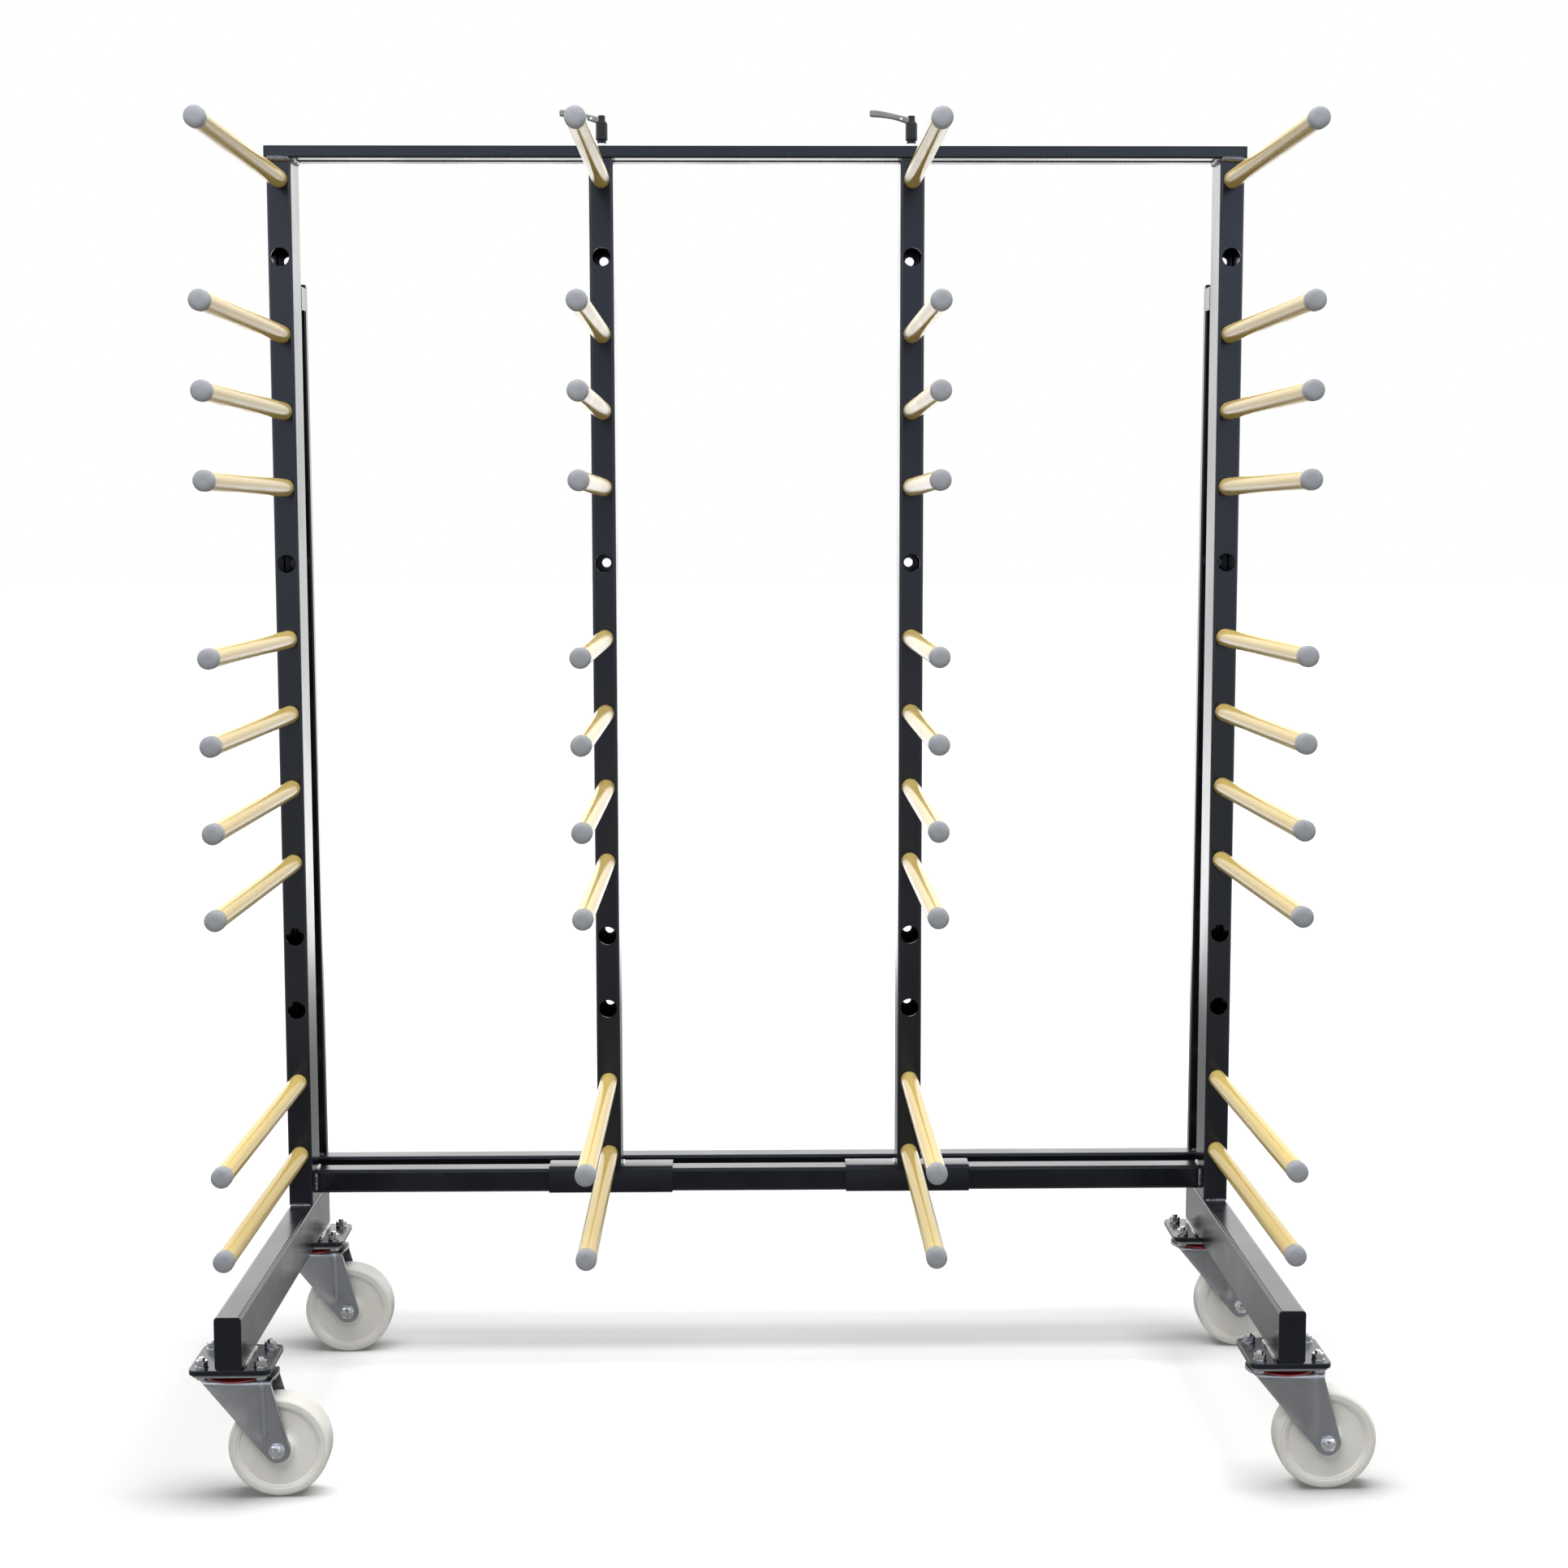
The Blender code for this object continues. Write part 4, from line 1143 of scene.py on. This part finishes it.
@dataclass
class Casters:
    """Four swivel casters: pressed zinc forks, sealed heads, nylon wheels, axles and plate bolts."""

    sheet: float = 0.004
    nose: float = 0.044
    nose_bulge: float = 0.012
    tail: float = 0.056
    tail_bulge: float = 0.006
    boss_radius: float = 0.0195
    crown_top: float = 0.183
    bend: float = 0.008
    plate_bottom: float = 0.193
    crease_top: float = 0.043
    crease_low: float = 0.046
    crease_width: float = 0.009
    crease_share: float = 0.12
    crease_margins: Pair = (0.25, 0.13)
    panel_proud: float = 0.0018
    curl: float = 0.0042
    edge: float = 0.0012
    boss_width: float = 0.058
    seal_radius: float = 0.036
    dish_reach: float = 0.0115
    wheel_width: float = 0.047
    wheel_rim: float = 0.013
    wheel_recess: float = 0.0045
    wheel_crown: float = 0.0045
    tread_bulge: float = 0.0006
    lip: float = 0.0015
    hub_radius: float = 0.023
    axle_flats: float = 0.019
    axle_nut: float = 0.008
    axle_radius: float = 0.006
    axle_pitch: float = 0.00175
    axle_end: float = 0.004
    axle_washer: Pair = (0.0118, 0.0016)
    bolt_spread: Pair = (0.043, 0.040)
    bolt_flats: float = 0.016
    bolt_nut: float = 0.0080
    bolt_head: float = 0.0055
    bolt_radius: float = 0.005
    bolt_end: float = 0.0045
    bolt_washer: float = 0.0018
    washer_radius: float = 0.0098
    washer_edge: float = 0.0004
    plates: float = 0.013
    gap: float = 0.0003
    trail: float = field(init=False)
    axle: float = field(init=False)

    def build(self, bench: Bench) -> None:
        """Make the four casters and the bolts that hold them."""
        for name in (f"{end}_{side}" for end in ENDS for side in SIDES):
            x, y, _ = bench.pivot[f"{name}_swivel"]
            hub = Box.of(f"{name}_wheel").middle
            self.trail, self.axle = hub[0] - x, hub[2]
            fork, axle, head, wheel, bolts = (
                [shape.moved(x, y, 0) for shape in shapes] for shapes in (
                    self.pressing(), self.axle_bolt(), self.head(), self.wheel(), self.plate_bolts()))
            caster = bench.body_of[f"{name}_fork"]
            bench.skin(f"{name}_fork", "pressing", fork, [ZINC_SHEET])
            bench.piece(f"{name}_axle_bolt", axle, [BRIGHT_ZINC], caster)
            bench.piece(f"{name}_swivel_seal", head, [SEAL_PLASTIC, ZINC_SHEET, PAINTED_GAP_SHADE], caster)
            bench.skin(f"{name}_wheel", "nylon", wheel, [NYLON, SHADED_NYLON_WEB])
            bench.piece(f"{name}_plate_bolts", bolts, [BRIGHT_ZINC], "frame")

    @property
    def leg_face(self) -> float:
        """How far a leg's outer face lies from the caster's middle."""
        return self.boss_width / 2 + self.gap + self.sheet

    def leg_side(self, heights: Array, top: Pair, sign: int) -> Array:
        """One edge of a leg: round the boss, then straight along the line that touches it from the shoulder.

        Args:
            heights: Heights z of the rows.
            top: The edge's upper end as (x, z).
            sign: 1 for the nose side, -1 for the tail side.

        Returns:
            The edge's x at every height.
        """
        boss = np.array((self.trail, self.axle))
        away = np.array(top) - boss
        opening = math.acos(self.boss_radius / float(np.linalg.norm(away)))
        angle = math.atan2(away[1], away[0]) + sign * opening
        touch = boss + self.boss_radius * np.array((math.cos(angle), math.sin(angle)))
        share = (heights - touch[1]) / (top[1] - touch[1])
        line = touch[0] + (top[0] - touch[0]) * share
        circle = np.sqrt(np.maximum(self.boss_radius ** 2 - (heights - self.axle) ** 2, 0))
        return np.where(heights > touch[1], line, self.trail - sign * circle)

    def strip(self) -> tuple[Array, Array, Array]:
        """Half of the fork's middle line, from the front boss up to the crown's middle.

        Returns:
            Points (y, z), outward normals (y, z) and edges (nose x, tail x), one row each.
        """
        outer, bend = self.leg_face, self.bend
        shoulder = self.crown_top - bend
        round_low = self.axle - self.boss_radius * np.cos(np.radians(np.linspace(7, 112, 16)))
        rise = np.concatenate([round_low, np.linspace(round_low[-1], shoulder, 20)[1:]])
        leg = np.column_stack([np.full_like(rise, -outer), rise])
        turn = np.radians(np.linspace(0, 90, 8)[1:])
        over = np.column_stack([bend * (1 - np.cos(turn)) - outer, shoulder + bend * np.sin(turn)])
        level = np.linspace(bend - outer, 0, 7)[1:]
        roof = np.column_stack([level, np.full_like(level, self.crown_top)])
        points = np.concatenate([leg, over, roof])
        lean = np.concatenate([np.zeros(len(leg)), turn, np.full(len(roof), math.pi / 2)])
        normals = np.column_stack([-np.cos(lean), np.sin(lean)])
        round_off = 1 - (points[:, 0] / outer) ** 2
        nose, tail = -self.nose - self.nose_bulge * round_off, self.tail + self.tail_bulge * round_off
        nose[:len(leg)] = self.leg_side(rise, (-self.nose, shoulder), 1)
        tail[:len(leg)] = self.leg_side(rise, (self.tail, shoulder), -1)
        return points, normals, np.column_stack([nose, tail])

    def pressing(self) -> list[Shape]:
        """The fork as one sheet: up the front leg, over the crown and down the rear leg.

        Across a row the surface stands off its line by the panel's height ahead of the crease, fading over
        the crease's width, less the curl times the square of the way from the crease to the nose edge. Both
        edges are rounded over.
        """
        points, normals, edges = self.strip()
        mirror = np.array((-1, 1))
        line = np.concatenate([points, (points * mirror)[-2::-1]])
        normal = np.concatenate([normals, (normals * mirror)[-2::-1]])
        nose, tail = np.concatenate([edges, edges[-2::-1]]).T[..., None]
        edge = self.edge
        near, far = nose + edge, tail - edge
        width = tail - nose - 2 * edge
        height = line[:, 1:]
        fall = (self.crown_top - height) / (self.crown_top - self.axle)
        crease = self.crease_top + (self.crease_low - self.crease_top) * fall
        half = np.minimum(self.crease_width / 2, self.crease_share * width)
        before, after = self.crease_margins
        crease = np.clip(crease, near + before * width, far - after * width)
        corner = np.linspace(0, math.pi / 2, 5)[None]
        over = edge * (1 - np.cos(corner))
        ahead = near + (crease - half - near) * np.linspace(0, 1, 13)[None, 1:]
        step = crease + half * np.linspace(-1, 1, 9)[None, 1:]
        behind = crease + half + (far - crease - half) * np.linspace(0, 1, 6)[None, 1:-1]
        across = np.concatenate([nose + over, ahead, step, behind, tail - over[:, ::-1]], axis=1)
        drop = np.zeros_like(across)
        drop[:, :5] = edge * (1 - np.sin(corner))
        drop[:, -5:] = drop[:, 4::-1]
        share = np.clip((across - crease + half) / (2 * half), 0, 1)
        above = np.clip((height - self.axle) / self.boss_radius - 0.5, 0, 1) * np.abs(normal[:, :1])
        back = np.clip((crease - half - across) / (crease - half - nose), 0, 1)
        stand = eased(above) * (self.panel_proud * (1 - eased(share)) - self.curl * back ** 2)

        def surface(offset: Array) -> Array:
            """Points of the sheet's face that stands off the line by an offset."""
            faced = line[:, None] + normal[:, None] * offset[..., None]
            return np.concatenate([across[..., None], faced], axis=-1)

        return [loft(np.concatenate([surface(stand - drop), surface(stand - self.sheet)[:, ::-1]], axis=1))]

    def head(self) -> list[Shape]:
        """The swivel head: a red seal round the ball bearing, a zinc dish under it, and over it a dark disc
        that is painted shade in the gap under the plate.
        """
        top, low = self.plate_bottom - self.gap, self.crown_top - 0.0005
        seal, outer = self.seal_radius, self.seal_radius + self.dish_reach
        rings = turned([
            (0, low + 0.0034), (seal, low + 0.0034), (seal + 0.0012, low + 0.0046),
            (seal + 0.0012, top - 0.0016), (seal, top - 0.0006), (0, top - 0.0006)], steps=72)
        dish = turned([
            (0, low), (outer, low), (outer - 0.0008, low + 0.0022), (outer - 0.0035, low + 0.0034),
            (outer - 0.0060, low + 0.0024), (seal + 0.0030, low + 0.0028), (seal + 0.0016, low + 0.0038),
            (0, low + 0.0038)], steps=72)
        # A dark disc just under the plate: painted shade in the gap, not a real part.
        gap_shade = rod(seal - 0.004, top - 0.0008, top)
        return [rings, dish.dressed(1), gap_shade.dressed(2)]

    def axle_bolt(self) -> list[Shape]:
        """The axle: a nut with a bolt end on the front leg, a hexagon head behind, a washer under each."""
        outer = self.leg_face
        rim, thick = self.axle_washer
        tip = outer + self.axle_nut + self.axle_end
        front, back = (lay.at(self.trail, 0, self.axle) for lay in (Axis.FRONT, Axis.BACK))
        washer = rod(rim, outer, outer + thick, steps=40)
        nut = hexagon(self.axle_flats, outer + thick, outer + self.axle_nut)
        end = threaded(self.axle_radius, outer, tip, self.axle_pitch)
        return [*(shape.placed(lay) for lay in (front, back) for shape in (washer, nut)), end.placed(front)]

    def wheel(self) -> list[Shape]:
        """The wheel about its axle: crowned tread, rims, sunk webs and the hub's two boss ends.

        The tread bulges with the square of the distance from its middle. Rim and web meet in a hollow quarter
        round. A fine groove runs round each face just inside the tread.
        """
        tread, face, soft = self.axle, self.wheel_width / 2, self.wheel_crown
        rim, web = tread - self.wheel_rim, face - self.wheel_recess
        low, lip, groove = tread - self.tread_bulge, self.lip, tread - soft
        y = np.linspace(-1, 1, 9)
        crown = np.column_stack([tread - self.tread_bulge * y ** 2, y * (face - soft)])
        t = np.linspace(0, math.pi / 2, 7)[1:]
        gain, loss = np.sin(t), 1 - np.cos(t)
        half_rim = np.concatenate([
            np.column_stack([low - soft * loss, face - soft + soft * gain]),
            [(groove - 0.0012, face), (groove - 0.0015, face - 0.0007), (groove - 0.0021, face - 0.0007),
             (groove - 0.0024, face)],
            np.column_stack([rim + lip * (1 - gain), face - lip * loss])])
        hollow_round = np.column_stack([
            rim - 0.0005 - soft * gain * 0.9, face - lip - (self.wheel_recess - lip) * loss ** 0.8])
        hub, end = self.hub_radius, self.boss_width / 2
        side = np.concatenate([
            half_rim[-1:], hollow_round,
            [(hub + 0.010, web), (hub + 0.0035, web + 0.0002), (hub + 0.0012, web + 0.0012),
             (hub, web + 0.0040), (hub - 0.0008, end - 0.0008), (hub - 0.0018, end),
             (self.axle_radius + self.gap, end)]])
        flip = np.array((1, -1))
        tyre = turned(np.concatenate([half_rim[::-1] * flip, crown, half_rim]), steps=96)
        # The webs take the finish that is painted darker as shade in the recess.
        webs = turned(np.concatenate([side, side[::-1] * flip]), steps=96).dressed(1)
        lay = Axis.FRONT.at(self.trail, 0, self.axle)
        return [tyre.placed(lay), webs.placed(lay)]

    def plate_bolts(self) -> list[Shape]:
        """Four bolts through both plates: head below, washer, nut and bolt end above."""
        low, top = self.plate_bottom, self.plate_bottom + self.plates
        nut_low = top + self.bolt_washer
        nut_top = nut_low + self.bolt_nut
        rim, edge = self.washer_radius, self.washer_edge
        profile = [(0, top), (rim, top), (rim, nut_low - edge), (rim - edge, nut_low), (0, nut_low)]
        parts = [
            turned(profile, steps=40),
            hexagon(self.bolt_flats, nut_low, nut_top),
            threaded(self.bolt_radius, nut_top - 0.001, nut_top + self.bolt_end),
            hexagon(self.bolt_flats, low - self.bolt_head, low)]
        across, along = self.bolt_spread
        corners = [(sx * across, sy * along, 0) for sx in (-1, 1) for sy in (-1, 1)]
        return [part.moved(*corner) for corner in corners for part in parts]


@dataclass
class Studio:
    """A white floor and room, soft lamps, and the camera where the photograph was taken."""

    eye: Point = (-0.0593, -3.8768, 1.4308)
    yaw: float = 0.0154
    pitch: float = 0.1036
    roll: float = -0.0014
    focal_pixels: float = 3032.9
    picture_pixels: float = 1932.0
    sensor: float = 36.0
    clip: Pair = (0.05, 200.0)
    floor_reach: float = 60.0
    floor_albedo: float = 0.74
    floor_roughness: float = 0.9
    floor_glow_near: float = 0.05
    floor_lit: float = 1.0
    floor_glow_full: float = 2.6
    floor_bounce: float = 0.42
    room_light: float = 0.20
    front_shine: Stops = (
        (-1.0, 0.85), (-0.45, 0.75), (-0.345, 0.66), (-0.325, 0.14), (-0.26, 0.22), (-0.20, 0.52),
        (-0.12, 1.0), (0.0, 1.4), (0.10, 2.0), (0.22, 2.0), (0.60, 1.2), (1.0, 1.1))
    back_shine: Stops = (
        (-1.0, 0.60), (-0.45, 0.30), (-0.33, 0.30), (-0.305, 0.50), (-0.285, 0.72), (-0.26, 0.62),
        (-0.235, 0.40), (-0.185, 0.42), (-0.16, 2.8), (-0.12, 2.6), (-0.05, 1.7), (0.05, 1.7), (0.12, 2.0),
        (0.27, 2.2), (0.34, 2.0), (0.60, 1.1), (1.0, 1.0))
    front_span: Pair = (-0.5, 0.2)
    side_span: Pair = (0.03, 0.30)
    side_gain: Pair = (0.76, 1.22)
    tint_span: Pair = (-0.15, 0.08)
    front_tint: Colour = (0.94, 1.0, 1.16)
    shaded_by: tuple[str, ...] = ("foot", "rail", "rear", "caster", "fork", "wheel", "saddle")

    def build(self) -> None:
        """Make the camera, the room, the floor and the lamps."""
        self.build_camera()
        self.build_room()
        floor = self.build_floor()
        rack_lamps = (
            self.add_lamp("top_softbox", (0.0, -0.4, 7.0), (0.0, 0.0, 0.0), (6.0, 5.0), 610),
            self.add_lamp("key_softbox", (-0.8, -2.9, 3.7), (0.0, 0.0, 1.3), (2.8, 2.0), 100),
            self.add_lamp("fill_softbox", (3.4, -2.6, 2.4), (0.0, 0.0, 1.0), (2.4, 2.4), 25))
        floor_lamp = self.add_lamp("floor_softbox", (0.0, -0.08, 2.65), (0.0, -0.08, 0.0), (3.4, 1.6), 139)
        self.share_light(floor, floor_lamp, rack_lamps)
        bpy.context.scene.view_settings.view_transform = "Standard"

    def share_light(
            self, floor: bpy.types.Object, floor_lamp: bpy.types.Object,
            rack_lamps: tuple[bpy.types.Object, ...]) -> None:
        """Let one lamp light the floor alone, shaded by the low pieces, and the others all but the floor."""
        names = ("lit_floor", "unlit_floor", "low_pieces")
        lit, unlit, low = (bpy.data.collections.new(name) for name in names)
        lit.objects.link(floor)
        unlit.objects.link(floor)
        unlit.collection_objects[0].light_linking.link_state = "EXCLUDE"
        for piece in bpy.context.scene.objects:
            if not piece.hide_render and any(word in piece.name for word in self.shaded_by):
                low.objects.link(piece)
        floor_lamp.light_linking.receiver_collection = lit
        floor_lamp.light_linking.blocker_collection = low
        for lamp in rack_lamps:
            lamp.light_linking.receiver_collection = unlit

    def build_camera(self) -> None:
        """A camera at the photograph's place: forward, right and up follow from yaw, pitch and roll."""
        data = bpy.data.cameras.new("photo_camera")
        data.sensor_width = self.sensor
        data.lens = self.sensor * self.focal_pixels / self.picture_pixels
        data.clip_start, data.clip_end = self.clip
        camera = bpy.data.objects.new("photo_camera", data)
        ahead, aside, level = math.cos(self.yaw), math.sin(self.yaw), math.cos(self.pitch)
        forward = np.array((aside * level, ahead * level, -math.sin(self.pitch)))
        right = np.array((ahead, -aside, 0.0))
        up = np.cross(right, forward)
        turn = Matrix((right, up, -forward)).transposed().to_4x4()
        camera.matrix_world = Matrix.Translation(self.eye) @ turn @ Matrix.Rotation(self.roll, 4, "Z")
        bpy.context.scene.camera = show(camera)

    def build_room(self) -> None:
        """A white room: plain white where it is seen, and as bright in reflections as its stops say."""
        world = bpy.data.worlds.new("white_room")
        bpy.context.scene.world = world
        world.use_nodes = True
        sheet = NodeSheet(world.node_tree)
        background = world.node_tree.nodes["Background"]
        path = sheet.add("ShaderNodeLightPath").outputs
        ray = sheet.add("ShaderNodeTexCoord").outputs["Generated"]
        aside, onward, height = sheet.add("ShaderNodeSeparateXYZ", Vector=ray).outputs
        front = sheet.span(onward, *self.front_span, 1.0, 0.0)
        gain = sheet.span(sheet.maths("ABSOLUTE", aside), *self.side_span, *self.side_gain)
        ahead = sheet.product(sheet.ramp(height, self.front_shine), gain)
        shine = sheet.mix(front, sheet.ramp(height, self.back_shine), ahead, "FLOAT")
        mirrored = sheet.maths("MAXIMUM", path["Is Glossy Ray"], path["Is Transmission Ray"])
        level = sheet.mix(mirrored, self.room_light, shine, "FLOAT")
        tinted = sheet.product(front, sheet.span(height, *self.tint_span), mirrored)
        sheet.fill(background, {
            "Color": sheet.mix(tinted, (1, 1, 1, 1), (*self.front_tint, 1)),
            "Strength": sheet.mix(path["Is Camera Ray"], level, 1.0, "FLOAT")})

    def build_floor(self) -> bpy.types.Object:
        """A pale floor: plainly lit round the rack, where shadows fall, and glowing white further out.

        Reflections look past it into the room, which is as bright below the horizon as a floor would be.

        Returns:
            The floor.
        """
        corners = self.floor_reach * np.array(((-1, -1, 0), (1, -1, 0), (1, 1, 0), (-1, 1, 0)), float)
        mesh = bpy.data.meshes.new("studio_floor")
        mesh.from_pydata(corners, [], [(0, 1, 2, 3)])
        floor = show(bpy.data.objects.new("studio_floor", mesh))
        floor.visible_glossy = False
        material, sheet, shader, place = new_material("pale_floor")
        away = sheet.add("ShaderNodeVectorMath", {"operation": "LENGTH"}, Vector=place).outputs["Value"]
        glow = sheet.span(away, self.floor_lit, self.floor_glow_full, self.floor_glow_near)
        path = sheet.add("ShaderNodeLightPath").outputs
        plain, bounce = ((grey, grey, grey, 1) for grey in (self.floor_albedo, self.floor_bounce))
        sheet.fill(shader, {
            "Base Color": sheet.mix(path["Is Diffuse Ray"], plain, bounce), "Roughness": self.floor_roughness,
            "Specular IOR Level": 0.0, "Emission Color": (1, 1, 1, 1),
            "Emission Strength": sheet.product(path["Is Camera Ray"], glow)})
        mesh.materials.append(material)
        return floor

    @staticmethod
    def add_lamp(name: str, place: Point, target: Point, size: Pair, watts: float) -> bpy.types.Object:
        """Add and return an area lamp at a place, turned to its target, of which only the light shows."""
        data = bpy.data.lights.new(name, "AREA")
        data.shape = "RECTANGLE"
        data.size, data.size_y = size
        data.energy = watts
        lamp = bpy.data.objects.new(name, data)
        away = Vector(place) - Vector(target)
        lamp.matrix_world = Matrix.Translation(place) @ away.to_track_quat("Z", "Y").to_matrix().to_4x4()
        lamp.visible_camera = False
        lamp.visible_glossy = False
        return show(lamp)


def main() -> None:
    """Load the frame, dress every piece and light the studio."""
    logging.basicConfig(level=logging.INFO, format="%(name)s: %(message)s")
    for old in list(bpy.data.objects):
        bpy.data.objects.remove(old, do_unlink=True)
    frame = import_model()
    bench = Bench(frame)
    for assembly in (Posts(), Frame(), Arms(), Levers(), Casters()):
        LOG.info("building %s", type(assembly).__name__)
        assembly.build(bench)
    Studio().build()


if __name__ == "__main__":
    main()
